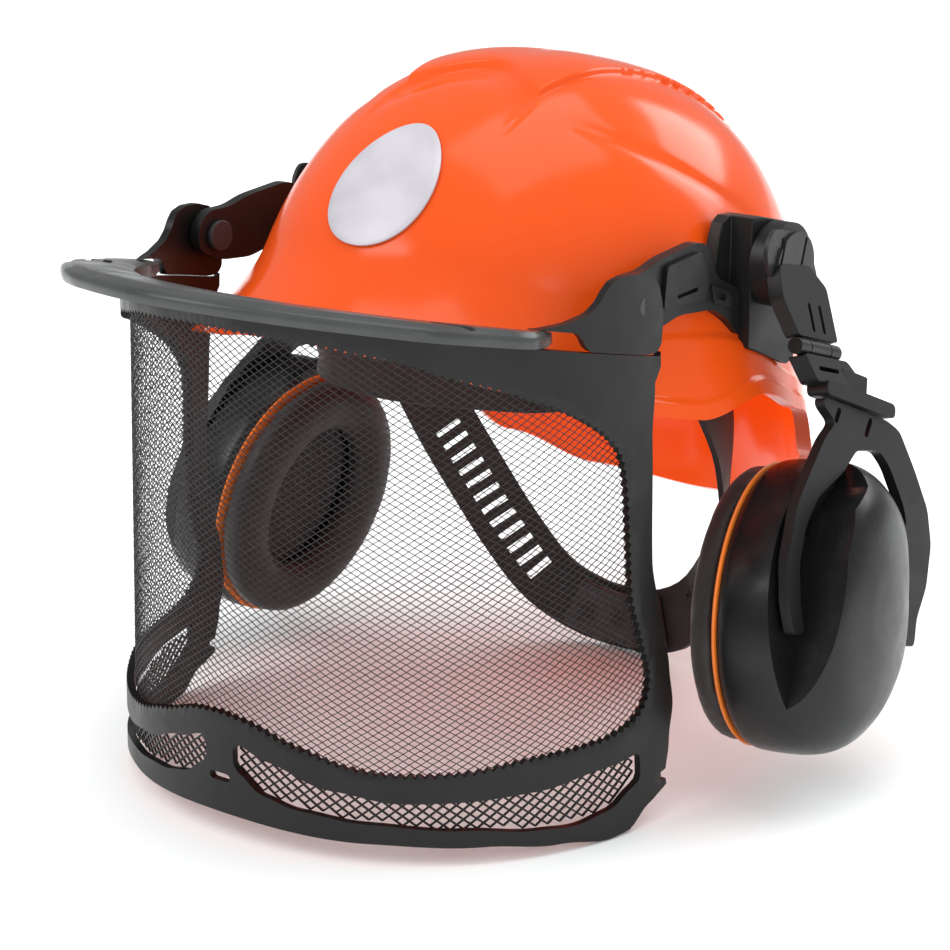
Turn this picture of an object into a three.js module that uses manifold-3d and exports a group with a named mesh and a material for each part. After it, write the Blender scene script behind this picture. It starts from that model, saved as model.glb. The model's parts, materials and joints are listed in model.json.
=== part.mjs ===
// Forestry helmet with flip-up mesh visor and arm-mounted ear muffs.
// Millimetres, +Z up. The front faces -Y and the wearer's left is +X.
// It stands on a floor, leaning back, on the visor's lower edge, the muffs and the nape strap.
import * as THREE from 'three';
import { mergeVertices } from 'three/addons/utils/BufferGeometryUtils.js';
import Module from 'manifold-3d';

const wasm = await Module();
wasm.setup();

// ---- driving dimensions -------------------------------------------------------------------
const LEAN = THREE.MathUtils.degToRad(12);   // the shell leans back by this much
const LIFT = new THREE.Vector3(0, 17, 146.3);  // centre of the shell's rim plane above the floor
const SHELL = { halfWidth: 108, front: 131, back: 140, height: 133.5, wall: 3 };
const VISOR = { topWidth: 113, footWidth: 121, depth: 122, backY: -50, wall: 3 };
const PEAK = { slope: 0.205, edgeZ: 202.4, wall: 4, end: 71 };
const PIVOT = new THREE.Vector3(111, -58, 205);
const MUFF = { centre: new THREE.Vector3(125, 15.4, 71), tall: 57.4, wide: 46.5 };
const GAP = 0.35;

// ---- colours --------------------------------------------------------------------------------
function finish(colour, roughness) {
  return new THREE.MeshStandardMaterial({ color: colour, roughness, metalness: 0 });
}
const ORANGE = finish(0xf2551c, 0.25);
const BLACK = finish(0x1d1e20, 0.5);
const SATIN = finish(0x2c2d30, 0.4);
const GREY = finish(0x4a4c50, 0.45);
const PALE = finish(0xd2cfd4, 0.5);
const FOAM = finish(0x141415, 0.95);
const SKIN = finish(0x232021, 0.7);
const WIRE = finish(0x17181a, 0.6);

// ---- small helpers ----------------------------------------------------------------------------
const vec = (x, y, z) => new THREE.Vector3(x, y, z);
const rad = THREE.MathUtils.degToRad;
const mix = THREE.MathUtils.lerp;

function table(stops, x) {
  if (x <= stops[0][0]) return stops[0][1];
  for (let i = 1; i < stops.length; i++) {
    const [x1, y1] = stops[i];
    const [x0, y0] = stops[i - 1];
    if (x <= x1) {
      const t = (x - x0) / (x1 - x0);
      return mix(y0, y1, t * t * (3 - 2 * t));
    }
  }
  return stops[stops.length - 1][1];
}

function range(count, from, to) {
  return Array.from({ length: count }, (_, i) => mix(from, to, i / (count - 1)));
}

// A body through rings of points. Rings are closed loops; 'ends' is 'caps' or 'loop'.
function loft(rings, ends = 'caps') {
  const n = rings[0].length;
  const points = rings.flat();
  const faces = [];
  const last = ends === 'loop' ? rings.length : rings.length - 1;
  for (let i = 0; i < last; i++) {
    const a = i * n;
    const b = ((i + 1) % rings.length) * n;
    for (let j = 0; j < n; j++) {
      const k = (j + 1) % n;
      faces.push(a + j, a + k, b + k, a + j, b + k, b + j);
    }
  }
  if (ends === 'caps') {
    for (const [start, flip] of [[0, true], [(rings.length - 1) * n, false]]) {
      const middle = vec(0, 0, 0);
      for (let j = 0; j < n; j++) middle.add(points[start + j]);
      points.push(middle.divideScalar(n));
      const hub = points.length - 1;
      for (let j = 0; j < n; j++) {
        const k = (j + 1) % n;
        if (flip) faces.push(hub, start + k, start + j);
        else faces.push(hub, start + j, start + k);
      }
    }
  }
  return outward(makeGeometry(points, faces));
}

function makeGeometry(points, faces) {
  const geometry = new THREE.BufferGeometry();
  geometry.setAttribute('position', new THREE.Float32BufferAttribute(points.flatMap((p) => p.toArray()), 3));
  geometry.setIndex(faces);
  return geometry;
}

function volume(geometry) {
  const p = geometry.attributes.position;
  const index = geometry.index.array;
  const [a, b, c] = [vec(0, 0, 0), vec(0, 0, 0), vec(0, 0, 0)];
  let sum = 0;
  for (let i = 0; i < index.length; i += 3) {
    a.fromBufferAttribute(p, index[i]);
    b.fromBufferAttribute(p, index[i + 1]);
    c.fromBufferAttribute(p, index[i + 2]);
    sum += a.dot(b.cross(c));
  }
  return sum;
}

function flipped(geometry) {
  const index = Array.from(geometry.index.array);
  for (let i = 0; i < index.length; i += 3) [index[i + 1], index[i + 2]] = [index[i + 2], index[i + 1]];
  geometry.setIndex(index);
  return geometry;
}

function outward(geometry) {
  return volume(geometry) < 0 ? flipped(geometry) : geometry;
}

function bare(geometry) {
  const plain = new THREE.BufferGeometry();
  plain.setAttribute('position', geometry.attributes.position.clone());
  if (geometry.index) plain.setIndex(geometry.index.clone());
  return mergeVertices(plain, 1e-4);
}

function toSolid(geometry) {
  const g = outward(bare(geometry));
  const mesh = new wasm.Mesh({
    numProp: 3,
    vertProperties: new Float32Array(g.attributes.position.array),
    triVerts: new Uint32Array(g.index.array),
  });
  mesh.merge();
  return new wasm.Manifold(mesh);
}

function fromSolid(solid) {
  const mesh = solid.getMesh();
  const geometry = new THREE.BufferGeometry();
  geometry.setAttribute('position', new THREE.BufferAttribute(new Float32Array(mesh.vertProperties), 3));
  geometry.setIndex(new THREE.BufferAttribute(new Uint32Array(mesh.triVerts), 1));
  return geometry;
}

function join(...geometries) {
  return fromSolid(geometries.map(toSolid).reduce((a, b) => a.add(b)));
}

function cut(geometry, ...tools) {
  return fromSolid(tools.map(toSolid).reduce((a, b) => a.subtract(b), toSolid(geometry)));
}

function mirrored(geometry) {
  const copy = bare(geometry);
  copy.scale(-1, 1, 1);
  return flipped(copy);
}

// A flat plate: outline points [a, b] along the axes e1 and e2 through 'origin'.
function plate(outline, origin, e1, e2, thickness, holes = []) {
  const shape = new THREE.Shape(outline.map(([a, b]) => new THREE.Vector2(a, b)));
  for (const hole of holes) shape.holes.push(new THREE.Path(hole.map(([a, b]) => new THREE.Vector2(a, b))));
  const geometry = new THREE.ExtrudeGeometry(shape, { depth: thickness, bevelEnabled: false });
  geometry.translate(0, 0, -thickness / 2);
  const e3 = e1.clone().cross(e2).normalize();
  geometry.applyMatrix4(new THREE.Matrix4().makeBasis(e1, e2, e3).setPosition(origin));
  return bare(geometry);
}

function circle(radius, count = 24, ca = 0, cb = 0) {
  return range(count + 1, 0, 2 * Math.PI)
    .slice(0, count)
    .map((t) => [ca + radius * Math.cos(t), cb + radius * Math.sin(t)]);
}

function slotOutline(a, b, length, width, angle = 0) {
  const half = (length - width) / 2;
  const points = [];
  for (const [end, from] of [[1, -90], [-1, 90]]) {
    for (const t of range(5, from, from + 180)) {
      const x = end * half + (width / 2) * Math.cos(rad(t));
      const y = (width / 2) * Math.sin(rad(t));
      points.push([a + x * Math.cos(angle) - y * Math.sin(angle), b + x * Math.sin(angle) + y * Math.cos(angle)]);
    }
  }
  return points;
}

// A rod with a round section between two points.
function rod(from, to, radius, sides = 16) {
  const geometry = new THREE.CylinderGeometry(radius, radius, from.distanceTo(to), sides);
  const turn = new THREE.Quaternion().setFromUnitVectors(vec(0, 1, 0), to.clone().sub(from).normalize());
  geometry.applyQuaternion(turn);
  const middle = from.clone().add(to).multiplyScalar(0.5);
  geometry.translate(middle.x, middle.y, middle.z);
  return bare(geometry);
}

// A strip with a rectangular section: each station gives its four corners.
function strip(stations, ends = 'caps') {
  return loft(stations.map(({ at, up, out, height, wall }) => {
    const u = up.clone().normalize().multiplyScalar(height / 2);
    const o = out.clone().normalize().multiplyScalar(wall / 2);
    return [
      at.clone().add(u).add(o),
      at.clone().sub(u).add(o),
      at.clone().sub(u).sub(o),
      at.clone().add(u).sub(o),
    ];
  }), ends);
}

function lean(geometry) {
  geometry.rotateX(-LEAN);
  geometry.translate(LIFT.x, LIFT.y, LIFT.z);
  return geometry;
}

// ---- assembly --------------------------------------------------------------------------------
const group = new THREE.Group();
group.name = 'forestry_helmet';

function add(name, geometry, material) {
  const mesh = new THREE.Mesh(bare(geometry), material);
  mesh.name = name;
  group.add(mesh);
}

function addPair(name, geometry, material) {
  add(`${name}_left`, geometry, material);
  add(`${name}_right`, mirrored(geometry), material);
}

// ---- shell -----------------------------------------------------------------------------------
const RIM_Z = [[0, 12], [20, 10], [40, 4], [60, 0], [75, -1], [92, 10], [106, 3], [120, -18], [136, -38], [155, -49],
  [180, -52]];
const RIM_FLARE = [[0, 26], [40, 22], [60, 16], [75, 9], [92, 8], [180, 8]];
const FLARE_RISE = 0.2;

// Point on the shell at 'theta' degrees from the front, 'v' from the rim (0) to the top (1).
function shellPoint(theta, v, inset = 0) {
  const around = Math.abs(((theta + 540) % 360) - 180);
  const t = rad(theta);
  const height = SHELL.height - inset;
  const low = Math.asin(table(RIM_Z, around) / SHELL.height);
  const rise = mix(low, Math.PI / 2, v);
  const power = table([[0, 1.03], [60, 0.814], [180, 0.711]], around);
  const k = Math.pow(Math.max(0, Math.cos(Math.max(0, rise))), power);
  const spread = Math.max(0, 1 - v / FLARE_RISE);
  const flare = table(RIM_FLARE, around) * spread * spread;
  const along = (Math.cos(t) > 0 ? SHELL.front : SHELL.back) - inset;
  const x = ((SHELL.halfWidth - inset) * k + flare * 0.8) * Math.sin(t);
  const y = -(along * k + flare) * Math.cos(t);
  return vec(x, y, height * Math.sin(rise));
}

const SHELL_HEIGHTS = [0, 0.04, 0.09, 0.15, 0.22, 0.33, 0.46, 0.59, 0.71, 0.82, 0.91, 0.97];
const SHELL_COLUMNS = 48;
function shellRing(v, inset) {
  return range(SHELL_COLUMNS + 1, 0, 360).slice(0, SHELL_COLUMNS).map((t) => shellPoint(t, v, inset));
}

function shellBody() {
  const outer = SHELL_HEIGHTS.map((v) => shellRing(v, 0));
  const inner = SHELL_HEIGHTS.map((v) => shellRing(v, SHELL.wall));
  return loft([...inner.reverse(), ...outer]);
}

// The raised plateau over the crown, with stepped sides.
const PLATEAU = { rise: 2.5 };
function plateau() {
  const outline = [[0, -46], [22, -52], [34, -62], [37, -30], [36, 10], [34, 50], [28, 86], [18, 104], [0, 108]];
  const full = [...outline, ...outline.slice(1, -1).reverse().map(([x, y]) => [-x, y])];
  const prism = plate(full, vec(0, 0, 95), vec(1, 0, 0), vec(0, 1, 0), 110);
  const heights = SHELL_HEIGHTS.filter((v) => v > 0.3);
  const skin = loft([
    ...heights.map((v) => shellRing(v, 1)).reverse(),
    ...heights.map((v) => shellRing(v, -PLATEAU.rise)),
  ]);
  return fromSolid(toSolid(skin).intersect(toSolid(prism)));
}

const VENTS = { count: 8, pitch: 8.5, width: 3.6, length: 11, startY: 12 };
function vents() {
  const cutters = [];
  for (let i = 0; i < VENTS.count; i++) {
    const y = VENTS.startY + i * VENTS.pitch;
    const z = 127.5 - 0.0042 * (y + 5) ** 2;
    for (const side of [-1, 1]) {
      const box = new THREE.BoxGeometry(VENTS.length, VENTS.width, 34);
      box.rotateX(-y * 0.006);
      box.rotateY(side * 0.45);
      box.translate(side * (35 - i * 0.7), y, z - 4);
      cutters.push(box);
    }
  }
  return cutters;
}
add('helmet_shell', lean(cut(join(shellBody(), plateau()), ...vents())), ORANGE);

// A blank oval badge on the front of the shell.
function badge() {
  const points = [];
  const columns = range(25, 0, 360).slice(0, 24);
  const rim = (inset, k) => columns.map((t) => {
    return shellPoint(1 + 14.5 * k * Math.sin(rad(t)), 0.34 + 0.15 * k * Math.cos(rad(t)), inset);
  });
  points.push(rim(-0.9, 0.4), rim(-0.9, 1), rim(-1.9, 1), rim(-1.9, 0.4));
  return loft(points);
}
add('front_badge', lean(badge()), PALE);

// ---- visor frame, in standing coordinates ----------------------------------------------------
function visorPoint(t, z, out = 0) {
  const k = THREE.MathUtils.clamp((187 - z) / 180, 0, 1);
  const width = mix(VISOR.topWidth, VISOR.footWidth, k) + out;
  const x = width * Math.sin(rad(t));
  const y = VISOR.backY - (VISOR.depth + out) * Math.cos(rad(t));
  return vec(x, y, z);
}
const peakZ = (y) => PEAK.edgeZ + PEAK.slope * (-110 - y);
const peakUnder = (t) => peakZ(visorPoint(t, 190).y) - PEAK.wall - 1.6;
// Heights round the visor, by angle: the foot band, the belt over it and the window's edges.
const FOOT = [[0, 11.4], [30, 8.8], [50, 6.9], [64, 3.6], [75, 0.3], [79, 1], [85, 9], [90, 18]];
const FOOT_TOP = [[0, 31], [4.5, 30], [9, 22.8], [17, 19.2], [29, 16.7], [47, 14], [60, 10.9], [67, 9.7], [75, 12.2],
  [80.6, 18.4], [83, 28], [90, 34]];
const BELT_LOW = [[0, 42.5], [5, 41], [10, 37], [23, 29], [35, 25.3], [47, 25.4], [60, 26.4], [73, 29.7], [90, 33]];
const BELT_HIGH = [[0, 51.8], [5, 50.8], [17, 43.4], [25, 37.8], [34, 35.2], [47, 35.4], [60, 38.8], [75, 40],
  [82, 43.6], [86, 50], [90, 60]];
const WINDOW_TOP = [[0, -6], [20, -7], [34, -9], [53, -15], [63, -19], [69, -23], [77, -30], [81, -38], [90, -70]];
const footZ = (t) => table(FOOT, Math.abs(t));
const footTopZ = (t) => table(FOOT_TOP, Math.abs(t));
const beltLowZ = (t) => table(BELT_LOW, Math.abs(t));
const windowFootZ = (t) => table(BELT_HIGH, Math.abs(t));
const windowTopZ = (t) => peakUnder(t) + table(WINDOW_TOP, Math.abs(t));
// Side bars, by height: the angle of the front edge, and how far the rear edge is from the visor's back.
const BAR_FRONT = [[16, 82.5], [34, 82.5], [47, 85], [62, 86.4], [76, 84], [95, 81.6], [132, 81.3], [151, 80.5],
  [187, 79]];
const BAR_REAR = [[17, -0.5], [31, 2.5], [46, 5.5], [61, 3.6], [81, -1.7], [106, -5.9], [153, -4.5], [175, -2.3],
  [180, 1.6], [187, 1.6]];

// A curved panel of the visor between two heights, over a span of angles.
function visorPanel(angles, lowZ, highZ, wall, out = 0) {
  return loft(angles.map((t) => {
    const [low, high] = [lowZ(t), highZ(t)];
    return [
      visorPoint(t, low, out + wall / 2),
      visorPoint(t, high, out + wall / 2),
      visorPoint(t, high, out - wall / 2),
      visorPoint(t, low, out - wall / 2),
    ];
  }));
}

function visorFrame() {
  const span = range(45, -90, 90);
  const top = visorPanel(span, windowTopZ, peakUnder, VISOR.wall);
  const foot = visorPanel(span, footZ, footTopZ, VISOR.wall + 1);
  const belt = visorPanel(span, beltLowZ, windowFootZ, VISOR.wall);
  const rib = visorPanel(range(3, -3, 3), (t) => footTopZ(t) - 2, (t) => beltLowZ(t) + 2, VISOR.wall);
  const bars = [-1, 1].map((side) => loft(range(16, 17, 182).map((z) => {
    const from = table(BAR_FRONT, z);
    const half = VISOR.wall / 2;
    const outer = range(4, from, 90).map((t) => visorPoint(side * t, z, half));
    const inner = range(4, from, 90).map((t) => visorPoint(side * t, z, -half)).reverse();
    const rear = VISOR.backY + table(BAR_REAR, z);
    for (const end of [outer[3], inner[0]]) end.y = rear;
    if (rear < outer[2].y + 0.4) {
      outer[2].y = rear - 2;
      inner[1].y = rear - 2;
    }
    return [...outer, ...inner];
  })));
  return join(top, foot, belt, rib, ...bars);
}
add('visor_frame', visorFrame(), BLACK);

// The mesh screen sits just inside the frame, lapping its edges.
const LAP = 3;
const screenOut = -(VISOR.wall / 2 + 0.5 + GAP);
const screenLow = (t) => windowFootZ(t) - LAP;
const screenHigh = (t) => Math.max(windowTopZ(t), windowFootZ(t) + 2) + LAP;
add('visor_mesh', visorPanel(range(35, -86, 86), screenLow, screenHigh, 0.8, screenOut), WIRE);
for (const [name, from, to] of [['left', 2, 84], ['right', -84, -2]]) {
  const guard = visorPanel(range(19, from, to), (t) => footTopZ(t) - 2, (t) => beltLowZ(t) + 2, 1, screenOut - 0.55);
  add(`visor_guard_${name}`, guard, BLACK);
}

// ---- peak ------------------------------------------------------------------------------------
// How far the peak's rim stands out from the visor, by angle.
const RIM_OUT = [[0, 30], [20, 28], [40, 24], [55, 13], [67, 4], [PEAK.end, 1.5]];
function peak() {
  const angles = range(37, -PEAK.end, PEAK.end);
  const at = (t, out, drop) => {
    const inner = visorPoint(t, 187, -5);
    const outer = visorPoint(t, 187, table(RIM_OUT, Math.abs(t)));
    const p = inner.lerp(outer, out);
    return vec(p.x, p.y, peakZ(p.y) - drop);
  };
  const lip = (t) => table([[0, 6], [50, 5.5], [PEAK.end, 4.6]], Math.abs(t));
  return loft(angles.map((t) => [
    at(t, 0, PEAK.wall + 1.2),
    at(t, 0, 0),
    at(t, 0.6, -1.2),
    at(t, 0.9, 0.3),
    at(t, 1, lip(t) * 0.45),
    at(t, 0.98, lip(t)),
    at(t, 0.94, lip(t)),
    at(t, 0.86, PEAK.wall + 1),
  ]));
}
function peakSlots() {
  return [-46, 46].flatMap((t) => [6, 13].map((out) => {
    const p = visorPoint(t, 187, out);
    const along = visorPoint(t + 1, 187, out).sub(p).normalize();
    const across = vec(-along.y, along.x, 0);
    return plate(slotOutline(0, 0, 16, 3.4), vec(p.x, p.y, peakZ(p.y)), along, across, 24);
  }));
}
add('peak', cut(peak(), ...peakSlots()), GREY);

// ---- visor arms, holders and pivot pins ------------------------------------------------------
const YZ = [vec(0, 1, 0), vec(0, 0, 1)];
const ARM = { out: -0.5, wall: 4 };
const arm = cut(
  join(
    plate([
      [-76, 190.4], [-81, 205], [-80.4, 214], [-76, 218.4], [-66, 219], [-57, 217], [-50, 212], [-47.2, 204.4], [-47, 195],
      [-47, 186.6], [-60, 187.4],
    ], vec(VISOR.topWidth + ARM.out, 0, 0), ...YZ, ARM.wall),
    visorPanel(range(8, PEAK.end + 0.6, 86), (t) => peakUnder(t) + GAP,
      (t) => table([[71, 201], [74, 206], [78, 212], [81, 214], [90, 214]], t), ARM.wall, ARM.out),
  ),
  rod(vec(100, PIVOT.y, PIVOT.z), vec(130, PIVOT.y, PIVOT.z), 4.4),
);
addPair('visor_arm', arm, BLACK);

const HOLDER_X = 105.6;
const holderPlates = join(
  plate([
    [-69, 200], [-69, 210], [-63, 216], [-50, 216], [-39, 219], [-14, 221.5], [-6, 218.5], [-1, 205.5], [16, 198],
    [16, 178], [8, 187], [-3, 193], [-27, 195], [-38, 192.6], [-56, 194],
  ], vec(HOLDER_X, 0, 0), ...YZ, 5, [circle(4.3, 20, PIVOT.y, PIVOT.z)]),
  plate([[-40, 200], [-38, 216], [-15, 218], [-9, 205], [-12, 199]], vec(HOLDER_X + 3.4, 0, 0), ...YZ, 3),
);
const pin = join(
  rod(vec(HOLDER_X - 4, PIVOT.y, PIVOT.z), vec(VISOR.topWidth + ARM.out + 1.6, PIVOT.y, PIVOT.z), 4),
  rod(vec(HOLDER_X - 5.4, PIVOT.y, PIVOT.z), vec(HOLDER_X - 2.9, PIVOT.y, PIVOT.z), 6.5),
);
addPair('visor_pivot_pin', pin, SATIN);

// ---- muff arms ---------------------------------------------------------------------------------
// The arm hangs from a hub at ARM_TOP and folds about a pin along ARM_BACK, through FOLD_AT.
const ARM_TOP = vec(122, 31, 206.5);
const ARM_BACK = vec(0, 0.9564, -0.292).normalize();
const FOLD_AT = vec(134.818, 19.55, 177.789);
const FOLD = { from: -5, to: 27, low: 3, high: 19, barrel: 3.3, pin: 1.8 };
const foldPoint = (back) => FOLD_AT.clone().addScaledVector(ARM_BACK, back);
const foldBarrel = (from, to, radius) => rod(foldPoint(from), foldPoint(to), radius);
// Plates of the upper link hang up from the fold pin, and those of the lower link down from it.
const UPPER = FOLD_AT.clone().sub(ARM_TOP);
UPPER.addScaledVector(ARM_BACK, -UPPER.dot(ARM_BACK)).normalize();
const LOWER = vec(0.3373, -0.275, -0.9003).normalize();
function linkPlate(outline, down, out, thickness) {
  const normal = down.clone().cross(ARM_BACK).normalize();
  return plate(outline, FOLD_AT.clone().addScaledVector(normal, out), ARM_BACK, down, thickness);
}
const upperPlate = (outline, out, thickness) => linkPlate(outline, UPPER, out, thickness);
const lowerPlate = (outline, out, thickness) => linkPlate(outline, LOWER, out, thickness);

// The shell's outside, grown by a gap, to trim what lies against it.
function shellClearance(grow) {
  return lean(loft(SHELL_HEIGHTS.map((v) => shellRing(v, -grow))));
}

// The block on the shell's side that takes the arm and the visor holder.
const adapterOutline = [
  [5.7, 178.7], [3.9, 200], [9, 219], [11.3, 224.1], [15.5, 226.4], [24, 226], [42, 221.5], [49, 214], [52, 200],
  [52, 176], [51.4, 163.2], [46, 162.2], [22, 172],
];
const ARM_HUB = { radius: 17, from: 112.9, to: 121 };
const adapter = cut(
  plate(adapterOutline, vec(104.5, 0, 0), ...YZ, 15.4),
  shellClearance(0.6),
  rod(vec(90, ARM_TOP.y, ARM_TOP.z), vec(130, ARM_TOP.y, ARM_TOP.z), 4.3),
  plate([[-60, 170], [-60, 240], [17.2, 240], [17.2, 170]], vec(107.6, 0, 0), ...YZ, 10.4),
);
addPair('side_adapter', adapter, BLACK);
addPair('visor_holder', cut(holderPlates, shellClearance(0.6)), SATIN);

const armPin = rod(vec(104, ARM_TOP.y, ARM_TOP.z), vec(ARM_HUB.to - 0.4, ARM_TOP.y, ARM_TOP.z), 4);
addPair('arm_pivot_pin', armPin, SATIN);

const armCap = join(
  rod(vec(ARM_HUB.to + 0.3, ARM_TOP.y, ARM_TOP.z), vec(ARM_HUB.to + 3.4, ARM_TOP.y, ARM_TOP.z), 14, 20),
  plate([[14, 221.6], [18, 223.4], [40, 218.4], [50, 197], [48, 190.6], [34, 190], [18, 198]],
    vec(ARM_HUB.to + 1.85, 0, 0), ...YZ, 3.1),
);
addPair('arm_cap', armCap, GREY);

const hubSolid = rod(vec(ARM_HUB.from, ARM_TOP.y, ARM_TOP.z), vec(ARM_HUB.to, ARM_TOP.y, ARM_TOP.z), ARM_HUB.radius, 24);
const blockClear = plate([[-10, 150], [-10, 240], [70, 240], [70, 150]], vec(105, 0, 0), ...YZ, 15);
const knuckle = (from, to, reach) => [[from, reach], [from, 0], [to, 0], [to, reach]];
const upperLink = cut(
  join(
    hubSolid,
    upperPlate([[-12, -31], [-13.4, -18], [-5, -3.8], [26, -3.8], [24, -26], [12, -34]], -0.5, 6.5),
    upperPlate([[4, -24], [4.4, -4.4], [8.4, -4.4], [8, -24]], 3.4, 2),
    upperPlate([[13, -24], [14, -4.4], [18, -4.4], [17, -24]], 3.4, 2),
    foldBarrel(FOLD.from, FOLD.low, FOLD.barrel),
    foldBarrel(FOLD.high, FOLD.to, FOLD.barrel),
    upperPlate(knuckle(FOLD.from, FOLD.low, -8), 0, 4),
    upperPlate(knuckle(FOLD.high, FOLD.to, -8), 0, 4),
  ),
  blockClear,
  rod(vec(90, ARM_TOP.y, ARM_TOP.z), vec(130, ARM_TOP.y, ARM_TOP.z), 4.3),
  rod(vec(ARM_HUB.to + 0.02, ARM_TOP.y, ARM_TOP.z), vec(ARM_HUB.to + 9, ARM_TOP.y, ARM_TOP.z), 15, 20),
  plate([[12, 222], [17, 225.4], [42, 220], [53, 197], [50, 188], [33, 188], [16, 197]],
    vec(ARM_HUB.to + 4.02, 0, 0), ...YZ, 8),
  foldBarrel(-20, 50, FOLD.pin + 0.3),
  foldBarrel(FOLD.low - 0.2, FOLD.high + 0.2, FOLD.barrel + 0.5),
);
addPair('arm_upper_link', upperLink, BLACK);
addPair('arm_fold_pin', foldBarrel(FOLD.from + 0.4, FOLD.to - 0.4, FOLD.pin), SATIN);

// The fork's own plane: 'f' runs rearwards through both cup pivots and 'w' up to the clasp.
const FORK = {
  origin: vec(163, 17, 71),
  f: vec(0.1181, 0.9118, -0.3932).normalize(),
  w: vec(-0.2174, 0.4101, 0.8857).normalize(),
};
FORK.o = FORK.f.clone().cross(FORK.w).normalize();
const forkPoint = (a, c, o = 0) => FORK.origin.clone()
  .addScaledVector(FORK.f, a)
  .addScaledVector(FORK.w, c)
  .addScaledVector(FORK.o, o);
const forkPlate = (outline, o, thickness, holes) => plate(outline, forkPoint(0, 0, o), FORK.f, FORK.w, thickness, holes);
const box = (a0, a1, c0, c1) => [[a0, c0], [a1, c0], [a1, c1], [a0, c1]];

const CLASP = { from: -32, to: 17, low: 85, high: 91 };
const TONGUE = { from: -17, to: 1, top: 99, wall: 2.6 };
const lowerLink = cut(
  join(
    lowerPlate([[-4, 3.6], [4, 14], [45, 14], [30, 3.6]], 0.4, 8.4),
    lowerPlate(knuckle(FOLD.low + 0.4, FOLD.high - 0.4, 5), 0, 4),
    foldBarrel(FOLD.low + 0.4, FOLD.high - 0.4, FOLD.barrel),
    forkPlate([
      [CLASP.from + 3, CLASP.low], [CLASP.to - 3, CLASP.low], [CLASP.to, CLASP.low + 3], [CLASP.to - 3, CLASP.high],
      [CLASP.from + 3, CLASP.high], [CLASP.from, CLASP.high - 3],
    ], 0, 10),
  ),
  forkPlate(box(TONGUE.from - 0.4, TONGUE.to + 0.4, 70, TONGUE.top + 1), 0, TONGUE.wall + 0.8),
  foldBarrel(-20, 50, FOLD.pin + 0.3),
  foldBarrel(-12, FOLD.low, FOLD.barrel + 0.5),
  foldBarrel(FOLD.high, 34, FOLD.barrel + 0.5),
);
addPair('arm_lower_link', lowerLink, BLACK);

const forkOutline = [
  [-41, -12], [-46, 0], [-48, 16], [-44, 38], [-38, 50], [-28, 68], [-21, 76], [-30, 81], [-30, 84.4], [TONGUE.from, 84.4],
  [TONGUE.from, TONGUE.top], [TONGUE.to, TONGUE.top], [TONGUE.to, 84.4], [15, 84.4], [25, 82], [38, 68], [49, 54],
  [53, 40], [51, 22], [45, 8], [44, -4], [37, -4], [38, 12], [39.5, 18], [32, 18], [25, 40], [34, 44], [31, 52], [19, 66],
  [11, 71], [-5, 68], [-14, 57], [-30, 44], [-37, 32], [-40, 16], [-38, 2], [-34, -10],
];
const forkSlots = [slotOutline(-20, 79.5, 7, 2.6, 1.2), slotOutline(2, 79, 9, 2.6, 1.2)];
const forkBody = cut(
  forkPlate(forkOutline, 0, 4.6, forkSlots),
  forkPlate(box(-60, 60, 84.4, 120), TONGUE.wall / 2 + 5, 10),
  forkPlate(box(-60, 60, 84.4, 120), -TONGUE.wall / 2 - 5, 10),
);
const CUP_PIVOT = { c: -4, front: -40, rear: 41, radius: 1.3 };
const pivotBore = (grow) => rod(forkPoint(-70, CUP_PIVOT.c), forkPoint(70, CUP_PIVOT.c), CUP_PIVOT.radius + grow);
addPair('muff_fork', cut(forkBody, pivotBore(0.25)), BLACK);

// ---- ear cups, in their own axes ---------------------------------------------------------------
const MUFF_AXES = {
  n: vec(0.988, 0.106, 0.113).normalize(),
  u: vec(-0.151, 0.503, 0.851).normalize(),
};
MUFF_AXES.v = MUFF_AXES.n.clone().cross(MUFF_AXES.u).normalize().negate();
const muffPoint = (off, u, v) => MUFF.centre.clone()
  .addScaledVector(MUFF_AXES.n, off)
  .addScaledVector(MUFF_AXES.u, u)
  .addScaledVector(MUFF_AXES.v, v);
const MUFF_SIDES = 28;
function oval(off, tall, wide, power = 1) {
  return range(MUFF_SIDES + 1, 0, 360).slice(0, MUFF_SIDES).map((t) => {
    const [c, s] = [Math.cos(rad(t)), Math.sin(rad(t))];
    const bulge = (x) => Math.sign(x) * Math.abs(x) ** power;
    return muffPoint(off, tall * bulge(s), wide * bulge(c));
  });
}
const CUP_PROFILE = [[2.2, 1], [8, 1.03], [24, 1.035], [35, 0.99], [43, 0.88], [49, 0.7], [53, 0.36]];
const CUP_WALL = 3;
function cupSkin(grow) {
  return CUP_PROFILE.map(([off, k]) => oval(off + (off > 3 ? grow : 0), MUFF.tall * k + grow, MUFF.wide * k + grow));
}
const cupInside = CUP_PROFILE.map(([off, k], i) => {
  const open = i === 0 ? 0.72 : k;
  return oval(off - (i === 0 ? 0 : CUP_WALL), MUFF.tall * open - CUP_WALL, MUFF.wide * open - CUP_WALL);
});
const cupCore = loft([...[...cupInside].reverse(), ...cupSkin(0)]);
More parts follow.
